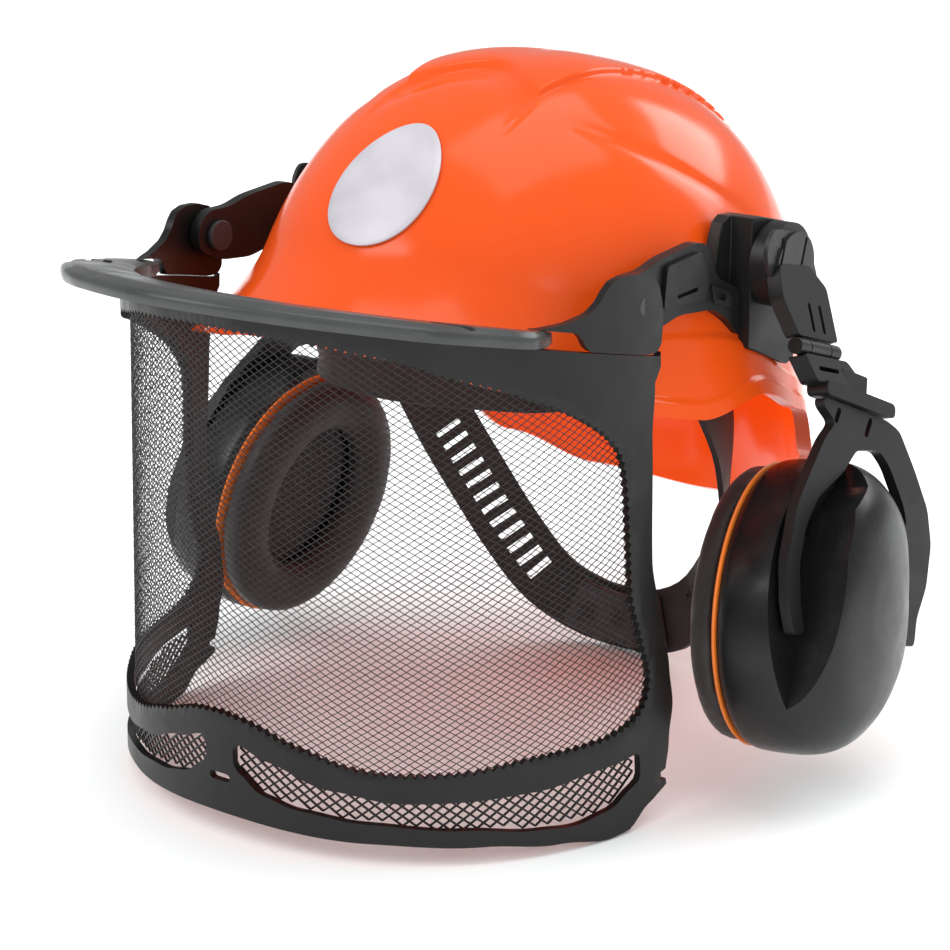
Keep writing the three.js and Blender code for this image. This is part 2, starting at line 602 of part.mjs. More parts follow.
// Pockets for the fork's two arms; grown, they give the walls around them.
function forkPockets(grow) {
  const front = [
    [-75, -44 - grow], [-33 + grow, -44 - grow], [-31 + grow, -16], [-29 + grow, 20], [-22 + grow, 40],
    [-9 + grow, 52], [-2 + grow, 70 + grow], [-75, 70 + grow],
  ];
  const rear = [[33 - grow, -14 - grow], [70, -14 - grow], [70, 60 + grow], [19 - grow, 60 + grow], [24 - grow, 16]];
  return [front, rear].map((outline) => forkPlate(outline, 12.5 - grow / 2, 35 + grow));
}
const pocketWalls = fromSolid(toSolid(loft(cupSkin(-0.2))).intersect(toSolid(join(...forkPockets(2.6)))));
const studs = [
  rod(forkPoint(-46, CUP_PIVOT.c), forkPoint(-26, CUP_PIVOT.c), CUP_PIVOT.radius),
  rod(forkPoint(26, CUP_PIVOT.c), forkPoint(44.6, CUP_PIVOT.c), CUP_PIVOT.radius),
];
const cupOuter = cut(join(cupCore, pocketWalls), ...forkPockets(0));
addPair('ear_cup', join(cupOuter, ...studs), SATIN);

const seamRing = loft([
  oval(0, 36, 25),
  oval(0, MUFF.tall - 0.6, MUFF.wide - 0.6),
  oval(0.9, MUFF.tall + 0.5, MUFF.wide + 0.5),
  oval(1.8, MUFF.tall - 0.2, MUFF.wide - 0.2),
  oval(1.8, 36, 25),
], 'loop');
addPair('seam_ring', seamRing, ORANGE);

const cushionSection = [
  [-0.4, 0.02], [-0.4, 0.98], [-4, 1.04], [-8.5, 1.02], [-11.6, 0.9], [-12.8, 0.62], [-12.4, 0.3], [-9, 0.05],
];
const cushion = loft(cushionSection.map(([off, k]) => oval(off, mix(33, 55.5, k), mix(22, 44.8, k))), 'loop');
addPair('ear_cushion', cushion, SKIN);

const foam = loft([oval(5, 34, 23), oval(7, 37, 26), oval(13, 37, 26), oval(15, 34, 23)]);
addPair('cup_foam', foam, FOAM);

// ---- harness -----------------------------------------------------------------------------------
const BAND = { wide: 80, long: 97, middleY: 4 };
function bandStation(theta, z, height, wall, inset = 0) {
  const t = rad(theta);
  const at = vec((BAND.wide - inset) * Math.sin(t), BAND.middleY - (BAND.long - inset) * Math.cos(t), z);
  return { at, up: vec(0, 0, 1), out: vec(Math.sin(t), -Math.cos(t) * 0.9, 0), height, wall };
}
const bandZ = (theta) => mix(14, 7, Math.max(0, Math.cos(rad(theta))));
const bandTall = (theta) => table([[0, 36], [40, 34], [75, 24], [110, 22]], Math.abs(theta));
const headband = lean(strip(range(29, -104, 104).map((t) => bandStation(t, bandZ(t), bandTall(t), 2.4))));
const TEMPLE = { y: 40, z: 149, bore: 2.5 };
const templeBore = rod(vec(-95, TEMPLE.y, TEMPLE.z), vec(95, TEMPLE.y, TEMPLE.z), TEMPLE.bore, 14);
add('headband', cut(headband, templeBore), BLACK);
const sweatband = lean(strip(range(21, -64, 64).map((t) => bandStation(t, bandZ(t) - 1, bandTall(t) - 2, 4, 4.2))));
add('sweatband', sweatband, FOAM);

// Crown straps cross over the head; the second passes above the first.
function crownStrap(turn, lift) {
  const stations = range(25, -76, 76).map((a) => {
    const [s, c] = [Math.sin(rad(a)), Math.cos(rad(a))];
    const along = vec(Math.sin(rad(turn)), -Math.cos(rad(turn)), 0);
    const across = vec(Math.cos(rad(turn)), Math.sin(rad(turn)), 0);
    const spread = 88 + lift;
    const at = along.clone().multiplyScalar(spread * s).add(vec(0, BAND.middleY, 24 + (84 + lift) * c));
    const out = along.clone().multiplyScalar(s).add(vec(0, 0, c));
    return { at, up: across, out, height: 18, wall: 1.4 };
  });
  return lean(strip(stations));
}
add('crown_strap_lower', crownStrap(38, 0), BLACK);
add('crown_strap_upper', crownStrap(-38, 2.6), BLACK);

// Clips join the harness to the shell at four points.
const shellInside = shellClearance(-SHELL.wall - 2 * GAP);
for (const [name, theta] of [['front_left', 42], ['front_right', -42], ['rear_left', 84], ['rear_right', -84]]) {
  const t = rad(theta);
  const out = vec(Math.sin(t), -Math.cos(t), 0).normalize();
  const at = bandStation(theta, bandZ(theta) + 10, 0, 0).at;
  const clip = plate(box(2, 30, -7, 9), at, out, vec(0, 0, 1), 20);
  const tongue = plate(box(2, 9, -7, 24), at, out, vec(0, 0, 1), 14);
  add(`harness_clip_${name}`, fromSolid(toSolid(lean(join(clip, tongue))).intersect(toSolid(shellInside))), SATIN);
}

// The nape strap hangs from the temples and rests on the floor behind.
const NAPE = [
  [83.5, 34, 150], [81.5, 48, 128], [76, 60, 103], [67.5, 72, 77], [55.5, 82, 51], [39, 90, 28], [20, 95, 17.5],
  [0, 97, 14.8],
];
const napePath = [...NAPE, ...NAPE.slice(0, -1).reverse().map(([x, y, z]) => [-x, y, z])];
const napeCurve = new THREE.CatmullRomCurve3(napePath.map((p) => vec(...p)), false, 'centripetal');
function napeStrip(from, to, count, height, wall, outBy = 0) {
  return strip(range(count, from, to).map((k) => {
    const at = napeCurve.getPointAt(k);
    const tangent = napeCurve.getTangentAt(k);
    const out = vec(at.x * 1.1, (at.y - 10) * 0.9, -6).normalize();
    const up = out.clone().cross(tangent).normalize();
    if (up.z < 0) up.negate();
    const flat = up.clone().cross(tangent).normalize();
    if (flat.dot(out) < 0) flat.negate();
    return { at: at.addScaledVector(flat, outBy), up, out: flat, height, wall };
  }));
}
function napeSlots() {
  const cutters = [];
  for (const side of [0, 1]) {
    for (let i = 0; i < 12; i++) {
      const k = 0.155 + i * 0.0195;
      const at = napeCurve.getPointAt(side ? 1 - k : k);
      const tangent = napeCurve.getTangentAt(side ? 1 - k : k);
      const out = vec(at.x * 1.1, (at.y - 10) * 0.9, -6).normalize();
      const up = out.clone().cross(tangent).normalize();
      cutters.push(plate(box(-1.7, 1.7, -6.5, 6.5), at, tangent, up, 12));
    }
  }
  return cutters;
}
add('nape_band', cut(napeStrip(0, 1, 45, 29, 2.4), templeBore, ...napeSlots()), BLACK);
const temple = (from, to, radius) => rod(vec(from, TEMPLE.y, TEMPLE.z), vec(to, TEMPLE.y, TEMPLE.z), radius, 14);
addPair('temple_rivet', join(temple(74.6, 87, 2.2), temple(74.6, 76.4, 4.4), temple(85.8, 87.6, 4.4)), SATIN);
add('nape_pad', napeStrip(0.43, 0.57, 11, 24, 3, -3.5), FOAM);

// ---- place the base centre at the origin ------------------------------------------------------
const bounds = new THREE.Box3().setFromObject(group);
group.position.set(0, -(bounds.min.y + bounds.max.y) / 2, -bounds.min.z);
group.updateMatrixWorld(true);

export default group;
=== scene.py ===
"""Looks for the forestry helmet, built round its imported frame.

Helper geometry is worked out in millimetres, in the frame the solids were drawn in, and moved to
the row frame by place(). The helmet's front faces -Y and the wearer's left is +X.
"""
import json
import math

import bmesh
import bpy
import numpy as np
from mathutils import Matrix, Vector
from mathutils.geometry import delaunay_2d_cdt


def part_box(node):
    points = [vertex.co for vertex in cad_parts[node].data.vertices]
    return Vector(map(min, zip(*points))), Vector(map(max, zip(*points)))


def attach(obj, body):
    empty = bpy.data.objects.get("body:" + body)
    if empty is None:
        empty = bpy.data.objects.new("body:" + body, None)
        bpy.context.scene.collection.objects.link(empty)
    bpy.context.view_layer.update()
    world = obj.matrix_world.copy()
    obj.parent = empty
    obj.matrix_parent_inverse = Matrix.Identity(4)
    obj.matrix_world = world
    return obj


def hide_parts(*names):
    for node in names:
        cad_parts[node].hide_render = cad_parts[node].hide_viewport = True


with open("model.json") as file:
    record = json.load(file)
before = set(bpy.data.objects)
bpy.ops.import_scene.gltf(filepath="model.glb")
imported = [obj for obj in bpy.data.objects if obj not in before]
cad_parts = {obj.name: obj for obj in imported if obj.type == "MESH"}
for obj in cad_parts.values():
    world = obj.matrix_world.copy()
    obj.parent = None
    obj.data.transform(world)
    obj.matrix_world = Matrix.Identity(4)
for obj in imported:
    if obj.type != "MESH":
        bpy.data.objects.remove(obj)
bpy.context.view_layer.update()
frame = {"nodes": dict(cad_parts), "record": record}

scene = bpy.context.scene
BODY_OF = {n: b for b, names in frame["record"]["behaviour"]["bodies"].items() for n in names}

# ---- driving dimensions, the same as the solids' (mm) -----------------------------------------
LEAN = math.radians(12)
LIFT = np.array([0.0, 17.0, 146.3])
SHELL_X, SHELL_FRONT, SHELL_BACK, SHELL_Z, SHELL_WALL = 108.0, 131.0, 140.0, 133.5, 3.0
VISOR_TOP, VISOR_FOOT, VISOR_DEPTH, VISOR_BACK = 113.0, 121.0, 122.0, -50.0
PEAK_EDGE_Z, PEAK_SLOPE, PEAK_WALL, PEAK_END = 202.4, 0.205, 4.0, 71.0
ARM_TOP = np.array([122.0, 31.0, 206.5])
MUFF_AT = np.array([125.0, 15.4, 71.0])
MUFF_TALL, MUFF_WIDE = 57.4, 46.5

_low, _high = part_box("arm_pivot_pin_left")
SHIFT = np.array([0.0, (_low.y + _high.y) * 500 - ARM_TOP[1], (_low.z + _high.z) * 500 - ARM_TOP[2]])


def place(points):
    """Millimetres in the drawing frame to metres in the row frame."""
    return (np.asarray(points, float) + SHIFT) * 0.001


def unit(v):
    v = np.asarray(v, float)
    return v / np.linalg.norm(v, axis=-1, keepdims=True)


def ease(x):
    x = np.clip(x, 0, 1)
    return x * x * (3 - 2 * x)


def table(stops, x):
    """Eased interpolation through (x, y) stops, as the solids use."""
    xs = np.array([s[0] for s in stops], float)
    ys = np.array([s[1] for s in stops], float)
    x = np.asarray(x, float)
    i = np.clip(np.searchsorted(xs, x) - 1, 0, len(xs) - 2)
    t = ease((x - xs[i]) / (xs[i + 1] - xs[i]))
    return ys[i] + (ys[i + 1] - ys[i]) * t


def lean(points):
    """The shell's level frame to the standing frame."""
    p = np.asarray(points, float)
    c, s = math.cos(LEAN), math.sin(LEAN)
    return np.stack([p[..., 0], p[..., 1] * c + p[..., 2] * s, -p[..., 1] * s + p[..., 2] * c], -1) + LIFT


# ---- meshes -------------------------------------------------------------------------------------
def make_object(name, points, faces, material, sharp=40):
    mesh = bpy.data.meshes.new(name)
    mesh.from_pydata([tuple(p) for p in place(points)], [], faces)
    obj = bpy.data.objects.new(name, mesh)
    scene.collection.objects.link(obj)
    work = bmesh.new()
    work.from_mesh(mesh)
    loose = [v for v in work.verts if not v.link_faces]
    bmesh.ops.delete(work, geom=loose, context="VERTS")
    bmesh.ops.recalc_face_normals(work, faces=work.faces)
    work.to_mesh(mesh)
    work.free()
    smooth(obj, sharp)
    mesh.materials.append(material)
    return obj


def smooth(obj, sharp=40):
    mesh = obj.data
    mesh.polygons.foreach_set("use_smooth", [True] * len(mesh.polygons))
    mesh.set_sharp_from_angle(angle=math.radians(sharp))


def grid(points, wrap_u=False, wrap_v=False, start=0):
    """Quads over an (n, m, 3) array of points."""
    n, m = points.shape[:2]
    faces = []
    for i in range(n if wrap_u else n - 1):
        for j in range(m if wrap_v else m - 1):
            a, b = i, (i + 1) % n
            c, d = j, (j + 1) % m
            faces.append((start + a * m + c, start + a * m + d, start + b * m + d, start + b * m + c))
    return faces


def loft(rings, caps=True, loop=False):
    """Points and faces of a body through closed rings, given as an (n, m, 3) array."""
    rings = np.asarray(rings, float)
    n, m = rings.shape[:2]
    points = list(rings.reshape(-1, 3))
    faces = grid(rings, wrap_u=loop, wrap_v=True)
    if caps and not loop:
        for row, flip in ((0, True), (n - 1, False)):
            points.append(rings[row].mean(0))
            hub = len(points) - 1
            for j in range(m):
                k = (j + 1) % m
                pair = (row * m + j, row * m + k)
                faces.append((hub, *(pair[::-1] if flip else pair)))
    return points, faces


def inside(points, loop):
    """Which 2-D points lie inside a closed loop."""
    points, loop = np.asarray(points, float), np.asarray(loop, float)
    x, y = points[:, 0:1], points[:, 1:2]
    a, b = loop, np.roll(loop, -1, axis=0)
    crosses = (a[:, 1] > y) != (b[:, 1] > y)
    run = np.where(b[:, 1] == a[:, 1], 1e-9, b[:, 1] - a[:, 1])
    at = a[:, 0] + (y - a[:, 1]) / run * (b[:, 0] - a[:, 0])
    return (crosses & (x < at)).sum(1) % 2 == 1


def rounded(outline, radius, steps=5):
    """The outline with each corner eased off."""
    p = np.asarray(outline, float)
    out = []
    for i in range(len(p)):
        before, here, after = p[i - 1], p[i], p[(i + 1) % len(p)]
        da, db = before - here, after - here
        la, lb = np.linalg.norm(da), np.linalg.norm(db)
        start = here + da / la * min(radius, la * 0.48)
        end = here + db / lb * min(radius, lb * 0.48)
        for t in np.linspace(0, 1, steps):
            out.append((1 - t) ** 2 * start + 2 * t * (1 - t) * here + t * t * end)
    return np.array(out)


def circle(radius, centre=(0, 0), count=32):
    a = np.linspace(0, 2 * math.pi, count, endpoint=False)
    return np.stack([centre[0] + radius * np.cos(a), centre[1] + radius * np.sin(a)], 1)


def pill(centre, length, width, turn=0.0):
    """A long slot with round ends."""
    a = np.linspace(-math.pi / 2, math.pi / 2, 7)
    half = (length - width) / 2
    right = np.stack([half + width / 2 * np.cos(a), width / 2 * np.sin(a)], 1)
    p = np.vstack([right, -right])
    c, sn = math.cos(turn), math.sin(turn)
    return np.asarray(centre) + np.stack([p[:, 0] * c - p[:, 1] * sn, p[:, 0] * sn + p[:, 1] * c], 1)


def sheet(outline, holes, position, low, high, step=0.0):
    """A plate with holes: position(uv, out) gives the 3-D points of its two faces."""
    loops = [np.asarray(outline, float)] + [np.asarray(h, float) for h in holes]
    points = np.vstack(loops)
    edges, start = [], 0
    for loop in loops:
        edges += [(start + i, start + (i + 1) % len(loop)) for i in range(len(loop))]
        start += len(loop)
    if step:
        u = np.arange(points[:, 0].min(), points[:, 0].max(), step)
        v = np.arange(points[:, 1].min(), points[:, 1].max(), step)
        cloud = np.stack(np.meshgrid(u, v), -1).reshape(-1, 2)
        gap = np.min(np.linalg.norm(cloud[:, None] - points[None], axis=2), axis=1)
        cloud = cloud[gap > step * 0.5]
        keep = inside(cloud, loops[0])
        for hole in loops[1:]:
            keep &= ~inside(cloud, hole)
        points = np.vstack([points, cloud[keep]])
    out = delaunay_2d_cdt([Vector(p) for p in points], edges, [], 0, 1e-5)
    flat = np.array([tuple(p) for p in out[0]])
    faces = [f for f in out[2]]
    middle = np.array([flat[list(f)].mean(0) for f in faces])
    keep = inside(middle, loops[0])
    for hole in loops[1:]:
        keep &= ~inside(middle, hole)
    faces = [f for f, k in zip(faces, keep) if k]
    n = len(flat)
    sides = {}
    for f in faces:
        for a, b in zip(f, f[1:] + f[:1]):
            sides[(a, b)] = None
    rim = [(a, b) for a, b in sides if (b, a) not in sides]
    body = list(position(flat, high)) + list(position(flat, low))
    skin = [tuple(f) for f in faces] + [tuple(i + n for i in reversed(f)) for f in faces]
    skin += [(b, a, a + n, b + n) for a, b in rim]
    return body, skin


def flat_plate(outline, holes, origin, e1, e2, low, high):
    """A flat plate on the axes e1 and e2, between two heights along their normal."""
    e3 = np.cross(e1, e2)
    origin = np.asarray(origin, float)

    def position(uv, out):
        return origin + uv[:, 0:1] * e1 + uv[:, 1:2] * e2 + out * e3

    return sheet(outline, holes, position, low, high)


def merge(*bodies):
    points, faces = [], []
    for p, f in bodies:
        base = len(points)
        points.extend(p)
        faces.extend(tuple(i + base for i in face) for face in f)
    return points, faces


def mirror_x(body):
    points, faces = body
    return [np.array([-p[0], p[1], p[2]]) for p in points], [tuple(reversed(f)) for f in faces]


def stand_in(obj, *nodes, slot=None):
    """obj shows in place of these nodes and rides with the first one's body."""
    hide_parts(*nodes)
    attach(obj, BODY_OF[nodes[0]])
    return obj


def apply_modifiers(obj):
    depsgraph = bpy.context.evaluated_depsgraph_get()
    mesh = bpy.data.meshes.new_from_object(obj.evaluated_get(depsgraph))
    obj.modifiers.clear()
    obj.data = mesh


def bevel(obj, width, segments=2, angle=32):
    mod = obj.modifiers.new("edges", "BEVEL")
    mod.width = width * 0.001
    mod.segments = segments
    mod.limit_method = "ANGLE"
    mod.angle_limit = math.radians(angle)
    mod.miter_outer = "MITER_ARC"


def moulded(node, material, width=0.6, segments=2, angle=32):
    """A clean copy of a CAD node with merged flat faces and rounded edges."""
    obj = bpy.data.objects.new(node + "_vis", frame["nodes"][node].data.copy())
    scene.collection.objects.link(obj)
    work = bmesh.new()
    work.from_mesh(obj.data)
    bmesh.ops.remove_doubles(work, verts=work.verts, dist=2e-5)
    bmesh.ops.dissolve_limit(work, angle_limit=math.radians(2), verts=work.verts, edges=work.edges)
    bmesh.ops.recalc_face_normals(work, faces=work.faces)
    work.to_mesh(obj.data)
    work.free()
    if obj.data.has_custom_normals:
        obj.data.attributes.remove(obj.data.attributes["custom_normal"])
    obj.data.materials.clear()
    obj.data.materials.append(material)
    smooth(obj, 30)
    bevel(obj, width, segments, angle)
    stand_in(obj, node)
    return obj


# ---- materials ----------------------------------------------------------------------------------
class Paint:
    """A principled material being wired up."""

    def __init__(self, name, colour, rough, **sockets):
        self.mat = bpy.data.materials.new(name)
        self.mat.use_nodes = True
        self.tree = self.mat.node_tree
        self.shader = self.tree.nodes["Principled BSDF"]
        self.set("Base Color", (*colour, 1))
        self.set("Roughness", rough)
        for key, value in sockets.items():
            self.set(key.replace("_", " "), value)
        self.colour = colour
        self.where = self.node("ShaderNodeTexCoord").outputs["Object"]

    def set(self, socket, value):
        self.shader.inputs[socket].default_value = value

    def node(self, kind, **props):
        node = self.tree.nodes.new(kind)
        for key, value in props.items():
            setattr(node, key, value)
        return node

    def link(self, a, b):
        self.tree.links.new(a, b)

    def noise(self, scale, detail=3.0, rough=0.5):
        node = self.node("ShaderNodeTexNoise")
        node.inputs["Scale"].default_value = scale
        node.inputs["Detail"].default_value = detail
        node.inputs["Roughness"].default_value = rough
        self.link(self.where, node.inputs["Vector"])
        return node.outputs["Fac"]

    def remap(self, value, a, b, low=0.3, high=0.7):
        node = self.node("ShaderNodeMapRange")
        node.inputs["From Min"].default_value = low
        node.inputs["From Max"].default_value = high
        node.inputs["To Min"].default_value = a
        node.inputs["To Max"].default_value = b
        self.link(value, node.inputs["Value"])
        return node.outputs["Result"]

    def ramp(self, value, *stops):
        node = self.node("ShaderNodeValToRGB")
        while len(node.color_ramp.elements) < len(stops):
            node.color_ramp.elements.new(0.5)
        for element, (at, colour) in zip(node.color_ramp.elements, stops):
            element.position = at
            element.color = (*colour, 1)
        self.link(value, node.inputs["Fac"])
        return node.outputs["Color"]

    def tint(self, value, *stops):
        self.link(self.ramp(value, *stops), self.shader.inputs["Base Color"])

    def roughen(self, value, a, b):
        self.link(self.remap(value, a, b), self.shader.inputs["Roughness"])

    def bump(self, value, strength, distance=0.0004):
        node = self.node("ShaderNodeBump")
        node.inputs["Strength"].default_value = strength
        node.inputs["Distance"].default_value = distance
        self.link(value, node.inputs["Height"])
        if self.shader.inputs["Normal"].is_linked:
            self.link(self.shader.inputs["Normal"].links[0].from_socket, node.inputs["Normal"])
        self.link(node.outputs["Normal"], self.shader.inputs["Normal"])


def shade(colour, k):
    return tuple(min(1.0, c * k) for c in colour)


def moulded_plastic(name, colour, rough, grain=2600.0, depth=0.12):
    paint = Paint(name, colour, rough, Specular_IOR_Level=0.34)
    paint.tint(paint.noise(28.0, 4.0), (0.3, shade(colour, 0.82)), (0.72, shade(colour, 1.22)))
    paint.roughen(paint.noise(60.0, 5.0, 0.6), rough - 0.06, rough + 0.1)
    paint.bump(paint.noise(grain, 2.0, 0.6), depth, 0.0002)
    return paint.mat


ORANGE_RGB = (0.64, 0.068, 0.006)


def orange_shell(name="shell_gloss", glow=0.1, bright=1.0):
    """Fluorescent orange: the glow is painted light, standing for light that the thin shell lets through;
    bright above 1 paints the colour lighter.
    """
    paint = Paint(name, ORANGE_RGB, 0.2, Specular_IOR_Level=0.34)
    paint.set("Emission Color", (1.0, 0.09, 0.006, 1))
    paint.set("Emission Strength", glow)
    dark = shade(ORANGE_RGB, 0.95 * bright)
    light = shade(ORANGE_RGB, 1.06 * bright)
    paint.tint(paint.noise(9.0, 3.0), (0.3, dark), (0.7, light))
    paint.roughen(paint.noise(45.0, 6.0, 0.6), 0.13, 0.22)
    paint.bump(paint.noise(420.0, 2.0), 0.035, 0.0004)
    paint.bump(paint.noise(1900.0, 3.0), 0.03, 0.0001)
    return paint.mat


def webbing(name, colour, pitch=1.3):
    """Woven polyester: two sets of ribs across each other."""
    paint = Paint(name, colour, 0.85, Sheen_Weight=0.25, Sheen_Roughness=0.5)
    heights = []
    for direction in ("X", "Z"):
        wave = paint.node("ShaderNodeTexWave", bands_direction=direction)
        wave.inputs["Scale"].default_value = 2 * math.pi / (20 * pitch * 0.001) / 10
        wave.inputs["Distortion"].default_value = 0.6
        wave.inputs["Detail Scale"].default_value = 3.0
        paint.link(paint.where, wave.inputs["Vector"])
        heights.append(wave.outputs["Fac"])
    node = paint.node("ShaderNodeMath", operation="MAXIMUM")
    paint.link(heights[0], node.inputs[0])
    paint.link(heights[1], node.inputs[1])
    # Colour follows the ribs' height: painted shade in the grooves and painted light on the rib tops.
    paint.tint(node.outputs[0], (0.2, shade(colour, 0.55)), (0.9, shade(colour, 1.5)))
    paint.bump(node.outputs[0], 0.6, 0.0004)
    return paint.mat


def vinyl(name, colour):
    paint = Paint(name, colour, 0.5, Specular_IOR_Level=0.4, Sheen_Weight=0.1)
    cells = paint.node("ShaderNodeTexVoronoi", feature="DISTANCE_TO_EDGE")
    cells.inputs["Scale"].default_value = 900.0
    paint.link(paint.where, cells.inputs["Vector"])
    paint.tint(paint.noise(35.0, 4.0), (0.3, shade(colour, 0.75)), (0.75, shade(colour, 1.35)))
    paint.roughen(paint.noise(120.0, 4.0), 0.42, 0.6)
    paint.bump(cells.outputs["Distance"], 0.25, 0.0002)
    paint.bump(paint.noise(70.0, 3.0), 0.12, 0.0008)
    return paint.mat


def foam_material(name, colour):
    paint = Paint(name, colour, 0.95, Sheen_Weight=0.2)
    cells = paint.node("ShaderNodeTexVoronoi")
    cells.inputs["Scale"].default_value = 700.0
    paint.link(paint.where, cells.inputs["Vector"])
    # Colour follows the cells' height: painted shade in the pits and painted light on the ridges between
    # them.
    paint.tint(cells.outputs["Distance"], (0.1, shade(colour, 0.5)), (0.8, shade(colour, 1.6)))
    paint.bump(cells.outputs["Distance"], 0.8, 0.0008)
    return paint.mat


def painted_wire():
    paint = Paint("painted_wire", (0.012, 0.012, 0.013), 0.5, Specular_IOR_Level=0.4)
    paint.tint(paint.noise(300.0, 2.0), (0.3, (0.009, 0.009, 0.01)), (0.7, (0.022, 0.022, 0.024)))
    paint.roughen(paint.noise(800.0, 2.0), 0.42, 0.62)
    return paint.mat


def badge_material():
    paint = Paint("badge_foil", (0.5, 0.48, 0.52), 0.42, Metallic=0.15)
    paint.tint(paint.noise(60.0, 3.0), (0.3, (0.46, 0.44, 0.48)), (0.7, (0.54, 0.52, 0.56)))
    paint.bump(paint.noise(1500.0, 2.0), 0.06, 0.0002)
    return paint.mat


MAT = {
    "orange": orange_shell(),
    # The shell's inside: the same orange painted 1.45 times lighter with three times the glow, as painted
    # light for light let through the shell and thrown up from the floor.
    "lit_inside": orange_shell("shell_inside_painted_light", 0.3, 1.45),
    "black": moulded_plastic("satin_black", (0.0085, 0.0085, 0.009), 0.4),
    "frame": moulded_plastic("visor_black", (0.0065, 0.006, 0.006), 0.38),
    "grey": moulded_plastic("peak_grey", (0.05, 0.052, 0.053), 0.27, 1800.0, 0.1),
    "cup": moulded_plastic("cup_black", (0.0075, 0.0075, 0.008), 0.26, 2200.0, 0.1),
    "cap": moulded_plastic("cap_grey", (0.022, 0.022, 0.024), 0.38),
    "strap": moulded_plastic("strap_black", (0.022, 0.020, 0.020), 0.55, 3000.0, 0.2),
    "pin": moulded_plastic("pin_black", (0.03, 0.03, 0.032), 0.32),
    "ring": moulded_plastic("ring_orange", (0.72, 0.17, 0.02), 0.35),
    "vinyl": vinyl("cushion_vinyl", (0.018, 0.015, 0.014)),
    "foam": foam_material("liner_foam", (0.02, 0.019, 0.019)),
    "terry": webbing("terry_pad", (0.03, 0.03, 0.032), 1.6),
    "web": webbing("crown_web", (0.03, 0.03, 0.033), 1.3),
    "wire": painted_wire(),
    "badge": badge_material(),
}

# ---- shell --------------------------------------------------------------------------------------
RIM_Z = [
    (0, 12), (20, 10), (40, 4), (60, 0), (75, -1), (92, 10), (106, 3), (120, -18), (136, -38),
    (155, -49), (180, -52),
]
RIM_FLARE = [(0, 26), (40, 22), (60, 16), (75, 9), (92, 8), (180, 8)]
POWER = [(0, 1.03), (60, 0.814), (180, 0.711)]
CREASE_Z = [(0, 60), (40, 42), (55, 27), (82, 31), (112, 15), (130, -6), (180, -6)]


def shell_surface(theta, v, inset=0.0, detail=True):
    """Shell surface in its level frame; theta in degrees from the front, v from rim to crown."""
    around = np.abs((theta + 540) % 360 - 180)
    t = np.radians(theta)
    low = np.arcsin(table(RIM_Z, around) / SHELL_Z)
    rise = low + (math.pi / 2 - low) * v
    k = np.maximum(0, np.cos(np.maximum(0, rise))) ** table(POWER, around)
    spread = np.maximum(0, 1 - v / 0.2)
    flare = table(RIM_FLARE, around) * spread ** 2
    along = np.where(np.cos(t) > 0, SHELL_FRONT, SHELL_BACK) - inset
    x = ((SHELL_X - inset) * k + flare * 0.8) * np.sin(t)
    y = -(along * k + flare) * np.cos(t)
    z = (SHELL_Z - inset) * np.sin(rise)
    p = np.stack([x, y, z], -1)
    if not detail:
        return p
    out = unit(np.stack([x / SHELL_X**2, y / 130.0**2, np.maximum(z, 0) / SHELL_Z**2 + 1e-5], -1))
    return p + out * relief(p, around, v)[..., None]


def relief(p, around, v):
    """Height of the moulded details above the plain shell, mm."""
    x, y, z = p[..., 0], p[..., 1], p[..., 2]
    side = np.abs(x)
    half = table([(-64, 33), (-30, 36.5), (10, 37), (50, 38), (88, 37.5), (104, 28), (112, 0)], y)
    nose = -46 - 16 * ease(side / 34) - 6 * (side > 34)
    inside = ease((half - side) / 1.6 + 0.5) * ease((y - nose) / 5.0) * ease((114 - y) / 9.0)
    top = (z > 30) * 1.0
    raised = 2.5 * inside * top
    trough = -1.8 * np.exp(-(((y - nose + 5) / 9.0) ** 2)) * ease((38 - side) / 8) * top
    pitch, first, last = 8.5, 21.0, 89.0
    slot = np.cos((y - first) / pitch * 2 * math.pi)
    gate = ease((y - first + 4) / 1.6) * ease((last + 3.5 - y) / 1.6)
    wall = ease((side - half + 9) / 1.8) * ease((half + 2 - side) / 1.8)
    vents = -4.2 * ease((slot + 0.1) / 0.8) * gate * wall * top
    skirt = table(CREASE_Z, around) - z
    belly = 2.0 * ease(skirt / 4.0 + 0.5) * ease((around - 48) / 14) * ease((138 - around) / 12)
    lip = 1.3 * ease((0.034 - v) / 0.006)
    facet = -1.2 * np.exp(-(((z - 92 + 0.35 * (y + 20)) / 4.0) ** 2))
    facet = facet * ease((side - 46) / 12) * ease((90 - y) / 30)
    return raised + trough + vents + belly + lip + facet


def build_shell():
    columns, rows = ((720, 240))
    theta = np.linspace(0, 360, columns, endpoint=False)
    v = np.concatenate([np.linspace(0, 0.06, 14)[:-1], np.linspace(0.06, 0.985, rows - 13)])
    tt, vv = np.meshgrid(theta, v)
    outer = shell_surface(tt.T, vv.T)
    inner_v = np.concatenate([np.linspace(0, 0.2, 14), np.linspace(0.24, 0.985, 26)])
    ti, vi = np.meshgrid(theta, inner_v)
    inner = shell_surface(ti.T, vi.T, SHELL_WALL, detail=False)
    rings = np.concatenate([inner[:, ::-1], outer], axis=1).transpose(1, 0, 2)
    points, faces = loft(lean(rings))
    obj = make_object("helmet_shell_vis", points, faces, MAT["orange"], 55)
    # The inner faces take the lighter, glowing copy of the orange: painted light.
    obj.data.materials.append(MAT["lit_inside"])
    inner_points = inner.shape[1] * columns
    for face in obj.data.polygons:
        if all(i < inner_points for i in face.vertices):
            face.material_index = 1
    return stand_in(obj, "helmet_shell")


build_shell()


